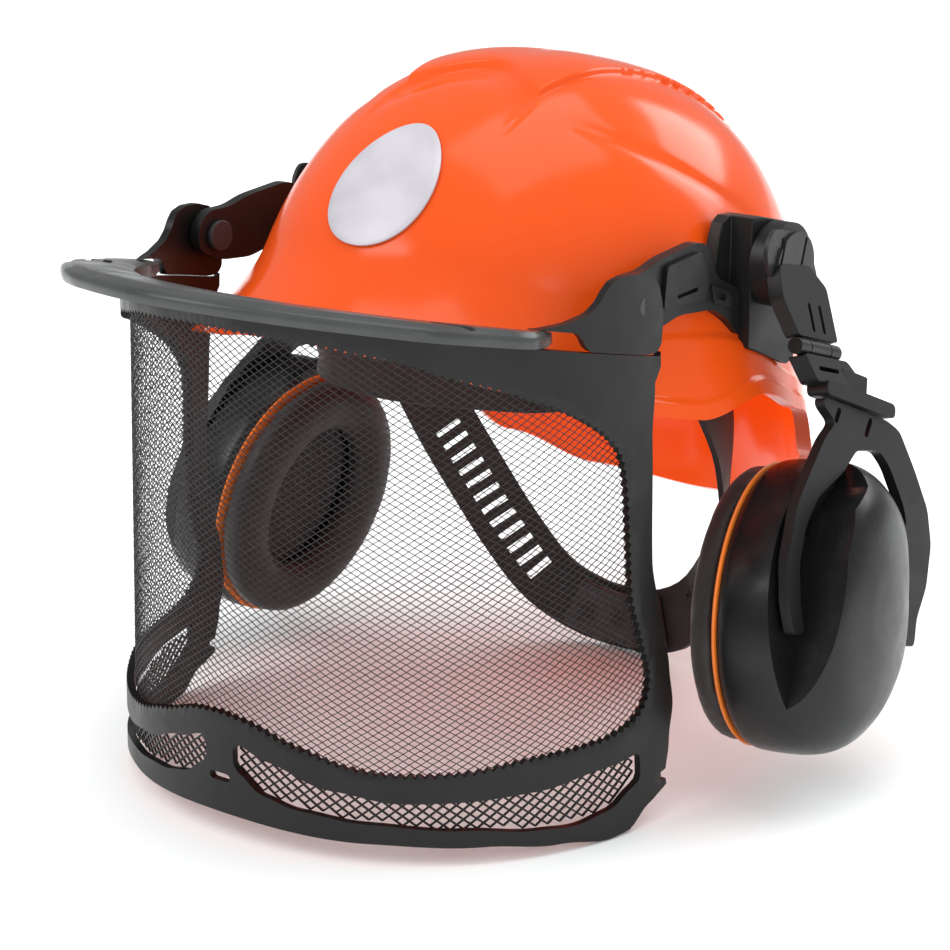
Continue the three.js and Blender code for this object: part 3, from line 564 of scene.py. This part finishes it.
def build_badge():
    """A blank domed oval label that follows the shell."""
    rings = []
    edge = ((0.0, 1.9), (0.7, 1.9), (0.9, 1.88), (0.97, 1.75),
            (1.0, 1.45), (1.0, 0.6), (0.9, 0.3), (0.0, 0.3))
    for k, lift in edge:
        a = np.linspace(0, 2 * math.pi, 96, endpoint=False)
        theta = 1 + 14.5 * max(k, 0.001) * np.sin(a)
        v = 0.34 + 0.15 * max(k, 0.001) * np.cos(a)
        rings.append(shell_surface(theta, v, -lift, detail=False))
    points, faces = loft(lean(np.array(rings)))
    return stand_in(make_object("front_badge_vis", points, faces, MAT["badge"]), "front_badge")


build_badge()

# ---- visor --------------------------------------------------------------------------------------
FOOT = [(0, 11.4), (30, 8.8), (50, 6.9), (64, 3.6), (75, 0.3), (79, 1), (85, 9), (90, 18)]
FOOT_TOP = [
    (0, 31), (4.5, 30), (9, 22.8), (17, 19.2), (29, 16.7), (47, 14), (60, 10.9), (67, 9.7),
    (75, 12.2), (80.6, 18.4), (83, 28), (90, 34),
]
BELT_LOW = [
    (0, 42.5), (5, 41), (10, 37), (23, 29), (35, 25.3), (47, 25.4), (60, 26.4), (73, 29.7),
    (90, 33),
]
BELT_HIGH = [
    (0, 51.8), (5, 50.8), (17, 43.4), (25, 37.8), (34, 35.2), (47, 35.4), (60, 38.8), (75, 40),
    (82, 43.6), (86, 50), (90, 60),
]
WINDOW_TOP = [
    (0, -6), (20, -7), (34, -9), (53, -15), (63, -19), (69, -23), (77, -30), (81, -38), (90, -70),
]
BAR_FRONT = [
    (16, 82.5), (34, 82.5), (47, 85), (62, 86.4), (76, 84), (95, 81.6), (132, 81.3), (151, 80.5),
    (187, 79),
]
BAR_REAR = [
    (17, -0.5), (31, 2.5), (46, 5.5), (61, 3.6), (81, -1.7), (106, -5.9), (153, -4.5), (175, -2.3),
    (180, 1.6), (187, 1.6),
]
ARC = math.radians(1) * 118   # mm along the visor's wall for each degree


def visor_at(t, z, out=0.0):
    """Point on the visor's wall; t in degrees from the front, running straight back past 90."""
    t, z = np.broadcast_arrays(np.asarray(t, float), np.asarray(z, float))
    k = np.clip((187 - z) / 180, 0, 1)
    width = VISOR_TOP + (VISOR_FOOT - VISOR_TOP) * k + out
    turn = np.radians(np.clip(t, -90, 90))
    past = np.maximum(0, np.abs(t) - 90) * ARC
    return np.stack([width * np.sin(turn), VISOR_BACK - (VISOR_DEPTH + out) * np.cos(turn) + past, z], -1)


def on_visor(uv, out):
    """Points of a sheet drawn in (mm round the wall, height)."""
    return visor_at(uv[:, 0] / ARC, uv[:, 1], out)


def peak_z(y):
    return PEAK_EDGE_Z + PEAK_SLOPE * (-110 - y)


def peak_under(t):
    return peak_z(visor_at(np.minimum(np.abs(t), 90), 190.0)[..., 1]) - PEAK_WALL - 1.6


def by_angle(stops):
    return lambda t: table(stops, np.minimum(np.abs(t), 90))


foot_z, foot_top, belt_low, belt_high = map(by_angle, (FOOT, FOOT_TOP, BELT_LOW, BELT_HIGH))


def window_top(t):
    return peak_under(t) + table(WINDOW_TOP, np.abs(t))


def half_loop(low, high, t_low, t_high, z_side, t_side):
    """Right half of a window as (angle, height): along the bottom, up the side, back along the top."""
    bottom = [(t, low(t)) for t in t_low]
    side = [(t_side(z), z) for z in z_side]
    top = [(t, high(t)) for t in t_high]
    return [(float(t), float(z)) for t, z in bottom + side + top]


def both_halves(right):
    return right + [(-t, z) for t, z in reversed(right)]


def relaxed(loop, rounds):
    p = np.array(loop, float) * (ARC, 1.0)
    for _ in range(rounds):
        p = p * 0.5 + (np.roll(p, 1, 0) + np.roll(p, -1, 0)) * 0.25
    return p


def resampled(p, pitch):
    closed = np.vstack([p, p[:1]])
    length = np.concatenate([[0], np.cumsum(np.linalg.norm(np.diff(closed, axis=0), axis=1))])
    count = int(length[-1] / pitch)
    at = np.linspace(0, length[-1], count, endpoint=False)
    return np.stack([np.interp(at, length, closed[:, 0]), np.interp(at, length, closed[:, 1])], 1)


def toothed(p, pitch, depth):
    """The loop with small pointed teeth standing into the hole."""
    p = resampled(p, pitch / 2)
    p = p[: len(p) // 2 * 2]
    along = unit(np.roll(p, -1, 0) - np.roll(p, 1, 0))
    normal = np.stack([-along[:, 1], along[:, 0]], 1)
    if not inside(p[:1] + normal[:1] * 0.5, p)[0]:
        normal = -normal
    return p + normal * (np.arange(len(p)) % 2 * depth)[:, None]


MAIN_WINDOW = relaxed(both_halves(half_loop(
    belt_high, window_top, np.linspace(0.5, 85, 60), np.linspace(80.2, 0.5, 60),
    np.linspace(51, 149, 40), lambda z: table(BAR_FRONT, z))), 6)
GUARD_WINDOW = relaxed(half_loop(
    foot_top, belt_low, np.linspace(3, 80.5, 60), np.linspace(82, 3, 60),
    np.linspace(20, 30.5, 6), lambda z: 82.6), 1)


def build_visor_frame():
    rear = [(90 + table(BAR_REAR, z) / ARC, z) for z in np.linspace(20, 186, 60)]
    hook = [(90.1, 13.5), (89.9, 16), (88.4, 16.2), (88.4, 19.4)]
    bottom = [(t, foot_z(t)) for t in np.linspace(0.5, 86, 70)]
    top = [(t, peak_under(t)) for t in np.linspace(90.5, 0.5, 70)]
    outline = np.array(both_halves([(float(t), float(z)) for t, z in bottom + hook + rear + top])) * (ARC, 1)
    left = GUARD_WINDOW * (-1, 1)
    holes = [toothed(MAIN_WINDOW, 3.6, 1.5), GUARD_WINDOW, left, pill((0, 26), 10, 3.2)]
    body = sheet(outline, holes, on_visor, -1.5, 1.5, 4.0)
    obj = make_object("visor_frame_vis", *body, MAT["frame"], 50)
    bevel(obj, 0.45, 2, 50)
    return stand_in(obj, "visor_frame")


build_visor_frame()


def lattice(window, lap, pitch_t, pitch_z, radius, out, weave, shift=0.0):
    """A diamond screen over a window: two families of slanting wires, each a thin four-sided rod."""
    centre = window.mean(0)
    away = window - centre
    grown = centre + away + unit(away) * lap
    low, high = grown.min(0), grown.max(0)
    step = np.array([pitch_t * ARC, pitch_z]) / 2
    rows = int((high[1] - low[1]) / step[1]) + 2
    bodies = []
    for family in (1, -1):
        count = int((high[0] - low[0]) / (2 * step[0])) + rows
        for c in range(-rows, count):
            k = np.arange(rows + 1)
            u = low[0] + (2 * c + family * k) * step[0] + shift
            if family < 0:
                u = u + (rows // 2 * 2) * step[0]
            v = low[1] + k * step[1]
            keep = inside(np.stack([u, v], 1), grown)
            for run in np.split(k, np.where(np.diff(keep.astype(int)) != 0)[0] + 1):
                if len(run) < 2 or not keep[run[0]]:
                    continue
                lift = radius * 0.8 * weave * family * np.where((k[run] + c) % 2, 1, -1)
                bodies.append(rod_along(visor_at(u[run] / ARC, v[run], out + lift), radius))
    return merge(*bodies)


def rod_along(line, radius, sides=4):
    tangent = unit(np.gradient(line, axis=0))
    away = unit(np.stack([line[:, 0], line[:, 1] - VISOR_BACK, 0 * line[:, 0]], -1))
    across = unit(np.cross(tangent, away))
    rings = []
    for a in np.linspace(0, 2 * math.pi, sides, endpoint=False) + math.pi / 4:
        rings.append(line + radius * (math.cos(a) * across + math.sin(a) * away))
    return loft(np.array(rings).transpose(1, 0, 2))


SCREEN_OUT = -(3.0 / 2 + 0.5 + 0.35)
SCREEN_PITCH = (2.14, 2.82)
GUARD_PITCH = (2.45, 3.9)


def build_screens():
    body = lattice(MAIN_WINDOW, 2.0, *SCREEN_PITCH, 0.21, SCREEN_OUT, 1.0)
    stand_in(make_object("visor_mesh_vis", *body, MAT["wire"]), "visor_mesh")
    for side, sign in (("left", 1), ("right", -1)):
        window = GUARD_WINDOW * (sign, 1)
        body = lattice(window, 1.6, *GUARD_PITCH, 0.5, SCREEN_OUT + 0.3, 0.0)
        stand_in(make_object(f"visor_guard_{side}_vis", *body, MAT["frame"]), f"visor_guard_{side}")


build_screens()

# ---- peak ---------------------------------------------------------------------------------------
PEAK_SHOWN = 66.0
RIM_OUT = [(0, 30), (20, 28), (40, 24), (55, 13), (67, 4), (71, 1.5)]


def build_peak():
    angles = np.linspace(-PEAK_SHOWN, PEAK_SHOWN, 181)
    lip = table([(0, 6), (50, 5.5), (PEAK_END, 4.6)], np.abs(angles))
    ends = 1 - 0.35 * ease((np.abs(angles) - PEAK_SHOWN + 2.5) / 2.5)

    def at(out, drop):
        inner = visor_at(angles, 187.0, -5.0)
        taper = np.sqrt(np.clip((PEAK_SHOWN + 0.4 - np.abs(angles)) / 6, 0.05, 1))
        outer = visor_at(angles, 187.0, -5 + (5 + table(RIM_OUT, np.abs(angles))) * taper)
        p = inner + (outer - inner) * out
        return np.stack([p[:, 0], p[:, 1], peak_z(p[:, 1]) - drop * ends], -1)

    top = [(0.02, 0.5), (0.06, 0.1)]
    top += [(o, -1.3 * math.sin(math.pi * min(1, o / 1.15))) for o in np.linspace(0.15, 0.82, 9)]
    top += [(0.88, 0.0)]
    section = [at(out, drop) for out, drop in top]
    section += [at(out, drop * lip) for out, drop in ((0.94, 0.08), (0.98, 0.24), (1.0, 0.48), (1.0, 0.78))]
    section += [at(out, drop * lip) for out, drop in ((0.985, 1.0), (0.955, 1.0), (0.93, 0.8))]
    section += [at(out, PEAK_WALL + extra) for out, extra in ((0.86, 1.0), (0.4, 0.6), (0.0, 1.2))]
    obj = make_object("peak_vis", *loft(np.array(section).transpose(1, 0, 2)), MAT["grey"], 50)
    for t in (-46, 46):
        for out in (6, 13):
            p, q = visor_at(t, 187.0, out), visor_at(t + 1, 187.0, out)
            along = unit((q - p) * (1, 1, 0))
            origin = np.array([p[0], p[1], peak_z(p[1])])
            outline = pill((0, 0), 16, 3.4)
            across = np.array([-along[1], along[0], 0])
            body = flat_plate(outline, [], origin, along, across, -12, 12)
            cutter = make_object("cutter", *body, MAT["grey"])
            boolean(obj, cutter)
    smooth(obj, 40)
    return stand_in(obj, "peak")


def boolean(obj, cutter, operation="DIFFERENCE"):
    mod = obj.modifiers.new("cut", "BOOLEAN")
    mod.operation = operation
    mod.object = cutter
    mod.solver = "EXACT"
    apply_modifiers(obj)
    bpy.data.objects.remove(cutter)


build_peak()

# ---- visor ears, holders and muff arms ------------------------------------------------------------
Y_AXIS = np.array([0, 1.0, 0])
Z_AXIS = np.array([0, 0, 1.0])
ARM_BACK = unit([0, 0.9564, -0.292])
FOLD_AT = np.array([134.818, 19.55, 177.789])
UPPER_DOWN = FOLD_AT - ARM_TOP
UPPER_DOWN = unit(UPPER_DOWN - UPPER_DOWN.dot(ARM_BACK) * ARM_BACK)
LOWER_DOWN = unit([0.3373, -0.275, -0.9003])
FORK_AT = np.array([163.0, 17.0, 71.0])
F_AXIS = unit([0.1181, 0.9118, -0.3932])
W_AXIS = unit([-0.2174, 0.4101, 0.8857])
O_AXIS = unit(np.cross(F_AXIS, W_AXIS))
FOLD_FROM, FOLD_LOW, FOLD_HIGH, FOLD_TO = -5.0, 3.0, 19.0, 27.0


def side_plate(outline, holes, x, low, high, radius=3.0):
    """A plate in the YZ plane at x, its corners rounded off."""
    return flat_plate(rounded(outline, radius), holes, (x, 0, 0), Y_AXIS, Z_AXIS, low, high)


def link_plate(outline, holes, down, low, high, radius=2.0):
    return flat_plate(rounded(outline, radius), holes, FOLD_AT, ARM_BACK, down, low, high)


def fork_plate(outline, holes, low, high, radius=3.0):
    return flat_plate(rounded(outline, radius), holes, FORK_AT, F_AXIS, W_AXIS, low, high)


def barrel(a, b, radius, sides=24):
    a, b = np.asarray(a, float), np.asarray(b, float)
    d = unit(b - a)
    e1 = unit(np.cross(d, [0.3, 0.9, 0.1]))
    e2 = np.cross(d, e1)
    turn = np.linspace(0, 2 * math.pi, sides, endpoint=False)[:, None]
    ring = np.cos(turn) * e1 + np.sin(turn) * e2
    return loft(np.array([a + ring * radius, b + ring * radius]))


def hardware(name, bodies, material, width=0.6, segments=3, angle=40):
    """A pair of mirrored pieces made of joined plates, with rounded edges."""
    for side in ("left", "right"):
        body = merge(*bodies)
        obj = make_object(f"{name}_{side}_vis", *(body if side == "left" else mirror_x(body)), material, 30)
        bevel(obj, width, segments, angle)
        stand_in(obj, f"{name}_{side}")


def build_ears():
    profile = [(60, 202.9), (69, 203.6), (73, 206.6), (75, 209.6), (76, 214), (77.4, 217.4),
               (80, 218.8), (85, 218.5), (88, 216.4), (90.3, 212.4), (91.4, 205), (91.45, 196)]
    under = [(91.45, 186.6), (90, 186.3)]
    under += [(t, float(peak_under(t)) + 0.35) for t in np.linspace(88, PEAK_END + 0.5, 12)]
    under += [(t, float(peak_z(visor_at(t, 190.0)[1])) + 1.5) for t in np.linspace(PEAK_END + 0.3, 60, 8)]
    outline = np.array(profile + under) * (ARC, 1)
    ear = sheet(resampled(relaxed(outline / (ARC, 1), 1), 1.6), [], on_visor, -2.1, 1.4, 3.0)
    hardware("visor_arm", [ear], MAT["frame"], 0.9, 3, 50)


build_ears()

HOLDER_X = 105.6
hardware("visor_holder", [
    side_plate([(-69, 200), (-69, 210), (-63, 216), (-50, 216), (-39, 219), (-14, 221.5),
                (-6, 218.5), (-1, 205.5), (16, 198), (16, 178), (8, 187), (-3, 193), (-27, 195),
                (-38, 192.6), (-56, 194)], [], HOLDER_X, -2.5, 2.5, 4),
    side_plate([(-40, 200), (-38, 216), (-15, 218), (-9, 205), (-12, 199)],
               [pill((-24, 203.5), 14, 1.6, 0.05)], HOLDER_X, 2.4, 4.5, 2),
    side_plate([(-6, 203.4), (8, 198.4), (8, 192), (-4, 196)],
               [pill((1, 197.6), 7, 2.4, -0.35)], HOLDER_X, 2.4, 3.6, 1.5),
], MAT["black"], 0.7)

CAP_X = 121.3
CAP_SLITS = [pill((21, 213.5), 12, 1.7, 1.25), pill((36.5, 211.5), 12, 1.7, 1.25)]
hardware("arm_cap", [
    side_plate([(10, 214), (14, 221.6), (18, 223.4), (40, 218.4), (50.5, 197), (48.5, 190.6), (34, 190),
                (18, 198)], CAP_SLITS, CAP_X, 0, 1.9, 7),
    flat_plate(circle(13.6, (31, 206.5), 48), CAP_SLITS, (CAP_X, 0, 0), Y_AXIS, Z_AXIS, 1.8, 3.1),
], MAT["cap"], 0.7)

HUB = flat_plate(circle(17, (31, 206.5), 56), [], (0, 0, 0), Y_AXIS, Z_AXIS, 112.9, 121.0)


def fold(back):
    """Point on the fold axis, mm towards the back of the arm."""
    return FOLD_AT + back * ARM_BACK


hardware("arm_upper_link", [
    HUB,
    link_plate([(-12, -31), (-13.4, -18), (-5, -3.6), (26, -3.6), (24, -26), (12, -34)], [
        pill((7.2, -12), 12, 2.2, 1.5), pill((15.6, -12), 12, 2.2, 1.5)], UPPER_DOWN, -2.8, 3.6),
    link_plate([(1, -24), (2.4, -3.8), (6, -3.8), (4.4, -24)], [], UPPER_DOWN, 3.4, 5.0, 1),
    link_plate([(9.6, -26), (10, -3.8), (13, -3.8), (12.6, -26)], [], UPPER_DOWN, 3.4, 5.0, 1),
    link_plate([(18, -24), (18.4, -3.8), (21.4, -3.8), (21, -24)], [], UPPER_DOWN, 3.4, 5.0, 1),
    barrel(fold(FOLD_FROM), fold(FOLD_LOW - 0.2), 3.3),
    barrel(fold(FOLD_HIGH + 0.2), fold(FOLD_TO), 3.3),
], MAT["black"], 0.5)
hardware("arm_lower_link", [
    link_plate([(-4, 3.6), (4, 14), (45, 14), (30, 3.6)], [pill((14, 8.6), 16, 1.8)], LOWER_DOWN, -3.6, 4.4),
    link_plate([(6, 0), (11, 11.6), (30, 11.6), (20, 0)], [], LOWER_DOWN, 4.2, 6.0),
    barrel(fold(FOLD_LOW + 0.4), fold(FOLD_HIGH - 0.4), 3.3),
    fork_plate([(-32, 86.5), (-30.5, 85), (15.5, 85), (17, 86.5), (17, 89.5), (15.5, 91), (-30.5, 91),
                (-32, 89.5)], [], -5, 5, 1.5),
], MAT["black"], 0.6)
FORK = [
    (-41, -12), (-46, 0), (-48, 16), (-44, 38), (-38, 50), (-28, 68), (-21, 76), (-30, 81),
    (-30, 84.4), (15, 84.4), (25, 82), (38, 68), (49, 54), (53, 40), (51, 22), (45, 8), (44, -4),
    (37, -4), (38, 12), (39.5, 18), (32, 18), (25, 40), (34, 44), (31, 52), (19, 66), (11, 71),
    (-5, 68), (-14, 57), (-30, 44), (-37, 32), (-40, 16), (-38, 2), (-34, -10),
]
hardware("muff_fork", [
    fork_plate(FORK, [pill((-20, 79), 7, 2.6, 1.2), pill((2, 78.6), 9, 2.6, 1.2)], -2.3, 2.3, 3),
    fork_plate([(-17, 84.2), (-17, 99), (1, 99), (1, 84.2)], [], -1.3, 1.3, 1),
], MAT["black"], 0.7)
for side in ("left", "right"):
    moulded(f"side_adapter_{side}", MAT["black"], 1.6, 3, 40)
    moulded(f"visor_pivot_pin_{side}", MAT["pin"], 0.5, 3, 50)
    moulded(f"arm_pivot_pin_{side}", MAT["pin"], 0.3)
    moulded(f"arm_fold_pin_{side}", MAT["pin"], 0.3)
    moulded(f"temple_rivet_{side}", MAT["pin"], 0.4)
for name in ("front_left", "front_right", "rear_left", "rear_right"):
    moulded(f"harness_clip_{name}", MAT["black"], 0.5)

# ---- ear muffs ------------------------------------------------------------------------------------
N_AXIS = unit([0.988, 0.106, 0.113])
U_AXIS = unit([-0.151, 0.503, 0.851])
V_AXIS = -unit(np.cross(N_AXIS, U_AXIS))


def muff_at(off, u, v):
    off, u, v = np.broadcast_arrays(off, u, v)
    return MUFF_AT + off[..., None] * N_AXIS + u[..., None] * U_AXIS + v[..., None] * V_AXIS


def oval(off, tall, wide, count=160):
    a = np.linspace(0, 2 * math.pi, count, endpoint=False)
    return muff_at(np.full(count, float(off)), tall * np.sin(a), wide * np.cos(a))


CUP_PROFILE = [(2.2, 1), (8, 1.03), (24, 1.035), (35, 0.99), (43, 0.88), (49, 0.7), (53, 0.36)]


def curve_through(stops, count):
    """Points along a smooth centripetal curve through 2-D stops."""
    p = np.array(stops, float)
    p = np.vstack([2 * p[0] - p[1], p, 2 * p[-1] - p[-2]])
    out = []
    for i in range(1, len(p) - 2):
        t = np.linspace(0, 1, count, endpoint=False)[:, None]
        a, b, c, d = p[i - 1], p[i], p[i + 1], p[i + 2]
        square = (2 * a - 5 * b + 4 * c - d) * t**2
        cube = (3 * b - a - 3 * c + d) * t**3
        out.append(0.5 * (2 * b + (c - a) * t + square + cube))
    return np.vstack(out + [p[-2:-1]])


def fork_prism(outline, low, high):
    """A prism in the fork's plane, as points and faces."""
    ring = [FORK_AT + a * F_AXIS + c * W_AXIS for a, c in outline]
    return loft(np.array([[p + low * O_AXIS for p in ring], [p + high * O_AXIS for p in ring]]))


def cup_body():
    stops = curve_through([(2.2, 0.985), (3.2, 1.0)] + CUP_PROFILE[1:] + [(54.2, 0.12)], 6)
    rings = [oval(2.2, MUFF_TALL * 0.8, MUFF_WIDE * 0.8)]
    rings += [oval(off, MUFF_TALL * k, MUFF_WIDE * k) for off, k in stops]
    return loft(np.array(rings))


FRONT_POCKET = [
    (-75, -44), (-33, -44), (-31, -16), (-29, 20), (-22, 40), (-9, 52), (-2, 70), (-75, 70),
]
REAR_POCKET = [(33, -14), (70, -14), (70, 60), (19, 60), (24, 16)]


def inflate(pad, most, centre, axis, seat):
    """Swell a pad by cloth pressure; no point moves more than `most` metres or past its seat (mm)."""
    remesh = pad.modifiers.new("even", "REMESH")
    remesh.mode = "VOXEL"
    remesh.voxel_size = 0.003
    apply_modifiers(pad)
    start = np.array([v.co for v in pad.data.vertices])
    cloth = pad.modifiers.new("swell", "CLOTH")
    cloth.settings.use_pressure = True
    cloth.settings.uniform_pressure_force = 4
    cloth.settings.effector_weights.gravity = 0
    for step in range(1, 21):
        scene.frame_set(step)
    apply_modifiers(pad)
    scene.frame_set(1)
    moved = np.array([v.co for v in pad.data.vertices]) - start
    length = np.linalg.norm(moved, axis=1, keepdims=True)
    points = start + moved * np.minimum(1, most / np.maximum(length, 1e-9))
    off = (points - place(centre)) @ axis
    points -= np.maximum(0, off - seat * 0.001)[:, None] * axis
    for vertex, point in zip(pad.data.vertices, points):
        vertex.co = point
    mod = pad.modifiers.new("soft", "SUBSURF")
    mod.levels = mod.render_levels = 1
    smooth(pad, 60)


def build_muff(side):
    flip = mirror_x if side == "right" else (lambda body: body)
    cup = make_object(f"ear_cup_{side}_vis", *flip(cup_body()), MAT["cup"], 35)
    for outline in (FRONT_POCKET, REAR_POCKET):
        cutter = make_object("cutter", *flip(fork_prism(outline, -5, 34)), MAT["cup"])
        boolean(cup, cutter)
    smooth(cup, 30)
    bevel(cup, 1.5, 4, 35)
    stand_in(cup, f"ear_cup_{side}")

    section = ((0.1, -12), (0.1, -1), (0.35, 0.1), (0.9, 0.5), (1.5, 0.1), (1.8, -1), (1.8, -12))
    rings = [oval(off, MUFF_TALL + k, MUFF_WIDE + k) for off, k in section]
    ring = make_object(f"seam_ring_{side}_vis", *flip(loft(np.array(rings), loop=True)), MAT["ring"])
    stand_in(ring, f"seam_ring_{side}")

    stops = [(-0.5, 0.2), (-0.5, 0.9), (-1.6, 1.0), (-4.5, 1.035), (-8.5, 1.01), (-11.4, 0.88),
             (-12.7, 0.62), (-12.3, 0.32), (-9.5, 0.08), (-4, 0.0), (-0.5, 0.2)]
    section = curve_through(stops, 5)[:-1]
    rings = [oval(off, 33 + 22.5 * k, 22 + 22.8 * k) for off, k in section]
    pad = make_object(f"ear_cushion_{side}_vis", *flip(loft(np.array(rings), loop=True)), MAT["vinyl"])
    centre = muff_at(*map(np.float64, (0, 0, 0))) * ((1 if side == "left" else -1), 1, 1)
    axis = N_AXIS * ((1 if side == "left" else -1), 1, 1)
    inflate(pad, 0.0025, centre, axis, -0.5)
    stand_in(pad, f"ear_cushion_{side}")

    crown = ((4.2, 0.9), (3.0, 0.99), (1.6, 0.96), (0.9, 0.8), (0.7, 0.4), (0.7, 0.02))
    liner = [oval(off, 36 * k, 25 * k) for off, k in crown]
    rings = np.array([oval(14, 34, 23)] + liner)
    foam = make_object(f"cup_foam_{side}_vis", *flip(loft(rings)), MAT["foam"])
    stand_in(foam, f"cup_foam_{side}")


for side in ("left", "right"):
    build_muff(side)

# ---- harness --------------------------------------------------------------------------------------
BAND_WIDE, BAND_LONG, BAND_Y = 80.0, 97.0, 4.0


def band_rings(theta, height, wall, inset=0.0, lift=0.0, round_by=0.35):
    """Cross-sections of a strap round the head, in the shell's level frame."""
    t = np.radians(theta)
    z = 14 - 7 * np.maximum(0, np.cos(t)) + lift
    at = np.stack([(BAND_WIDE - inset) * np.sin(t), BAND_Y - (BAND_LONG - inset) * np.cos(t), z], -1)
    out = unit(np.stack([np.sin(t), -0.9 * np.cos(t), 0 * t], -1))
    r = round_by
    rings = []
    corners = ((1, -0.5 + r), (1, 0.5 - r), (0.97, 0.5), (-0.97, 0.5),
               (-1, 0.5 - r), (-1, -0.5 + r), (-0.97, -0.5), (0.97, -0.5))
    for h, o in corners:
        rings.append(at + out * (o * wall) + np.stack([0 * t, 0 * t, h * height / 2], -1))
    return lean(np.array(rings).transpose(1, 0, 2))


def band_tall(theta):
    return table([(0, 36), (40, 34), (75, 24), (110, 22)], np.abs(theta))


def build_harness():
    theta = np.linspace(-104, 104, 150)
    points, faces = loft(band_rings(theta, band_tall(theta), 2.4))
    stand_in(make_object("headband_vis", points, faces, MAT["strap"]), "headband")
    theta = np.linspace(-64, 64, 120)
    points, faces = loft(band_rings(theta, band_tall(theta) - 2, 4.0, 4.2, -1, 0.2))
    pad = stand_in(make_object("sweatband_vis", points, faces, MAT["terry"]), "sweatband")
    for name in ("crown_strap_lower", "crown_strap_upper"):
        moulded(name, MAT["web"], 0.25)
    moulded("nape_band", MAT["strap"], 0.4)
    pad = moulded("nape_pad", MAT["terry"], 1.2, 4)


build_harness()

# ---- floor, light and camera ------------------------------------------------------------------------
ROOM_LIGHT, ROOM_REFLECTION = 1.14, 0.36


def build_studio():
    floor_mat = Paint("floor_white", (0.93, 0.95, 0.95), 0.6, Specular_IOR_Level=0.0)
    floor_mat.roughen(floor_mat.noise(3.0), 0.55, 0.62)
    mesh = bpy.data.meshes.new("floor")
    size = 30.0
    corners = [(-size, -size, 0), (size, -size, 0), (size, size, 0), (-size, size, 0)]
    mesh.from_pydata(corners, [], [(0, 1, 2, 3)])
    mesh.materials.append(floor_mat.mat)
    floor = bpy.data.objects.new("floor", mesh)
    floor.location.z = -0.0005
    scene.collection.objects.link(floor)

    world = bpy.data.worlds.new("studio")
    world.use_nodes = True
    tree = world.node_tree
    sky = tree.nodes["Background"]
    sky.inputs["Color"].default_value = (1, 1, 1, 1)
    ray = tree.nodes.new("ShaderNodeLightPath")
    dim = tree.nodes.new("ShaderNodeMapRange")
    dim.inputs["To Min"].default_value = ROOM_LIGHT
    dim.inputs["To Max"].default_value = ROOM_REFLECTION
    tree.links.new(ray.outputs["Is Glossy Ray"], dim.inputs["Value"])
    tree.links.new(dim.outputs["Result"], sky.inputs["Strength"])
    scene.world = world

    def area(name, at, aim, size, power):
        light = bpy.data.lights.new(name, "AREA")
        light.shape = "RECTANGLE"
        light.size, light.size_y = size
        light.energy = power
        obj = bpy.data.objects.new(name, light)
        obj.location = at
        obj.rotation_euler = (Vector(aim) - Vector(at)).to_track_quat("-Z", "Y").to_euler()
        scene.collection.objects.link(obj)

    area("key", (-0.9, -1.5, 1.5), (0, 0, 0.12), (1.0, 1.0), 13)
    area("fill", (1.7, -0.9, 0.7), (0, 0, 0.12), (0.7, 1.2), 5)
    area("top", (0.1, 0.3, 1.9), (0, 0, 0.1), (1.4, 1.4), 10)
    area("rim", (0.5, 1.9, 1.2), (0, 0, 0.15), (1.4, 0.8), 12)

    azimuth, elevation, distance = math.radians(38), math.radians(16.5), 1.12
    back = Vector((
        math.sin(azimuth) * math.cos(elevation),
        -math.cos(azimuth) * math.cos(elevation),
        math.sin(elevation),
    ))
    target = Vector(place([0, -15, 109]))
    camera = bpy.data.objects.new("camera", bpy.data.cameras.new("camera"))
    camera.data.sensor_width = 36
    camera.data.lens = 2680 / 950 * 36
    camera.location = target + back * distance
    camera.rotation_euler = back.to_track_quat("Z", "Y").to_euler()
    scene.collection.objects.link(camera)
    scene.camera = camera
    scene.view_settings.view_transform = "Standard"


build_studio()
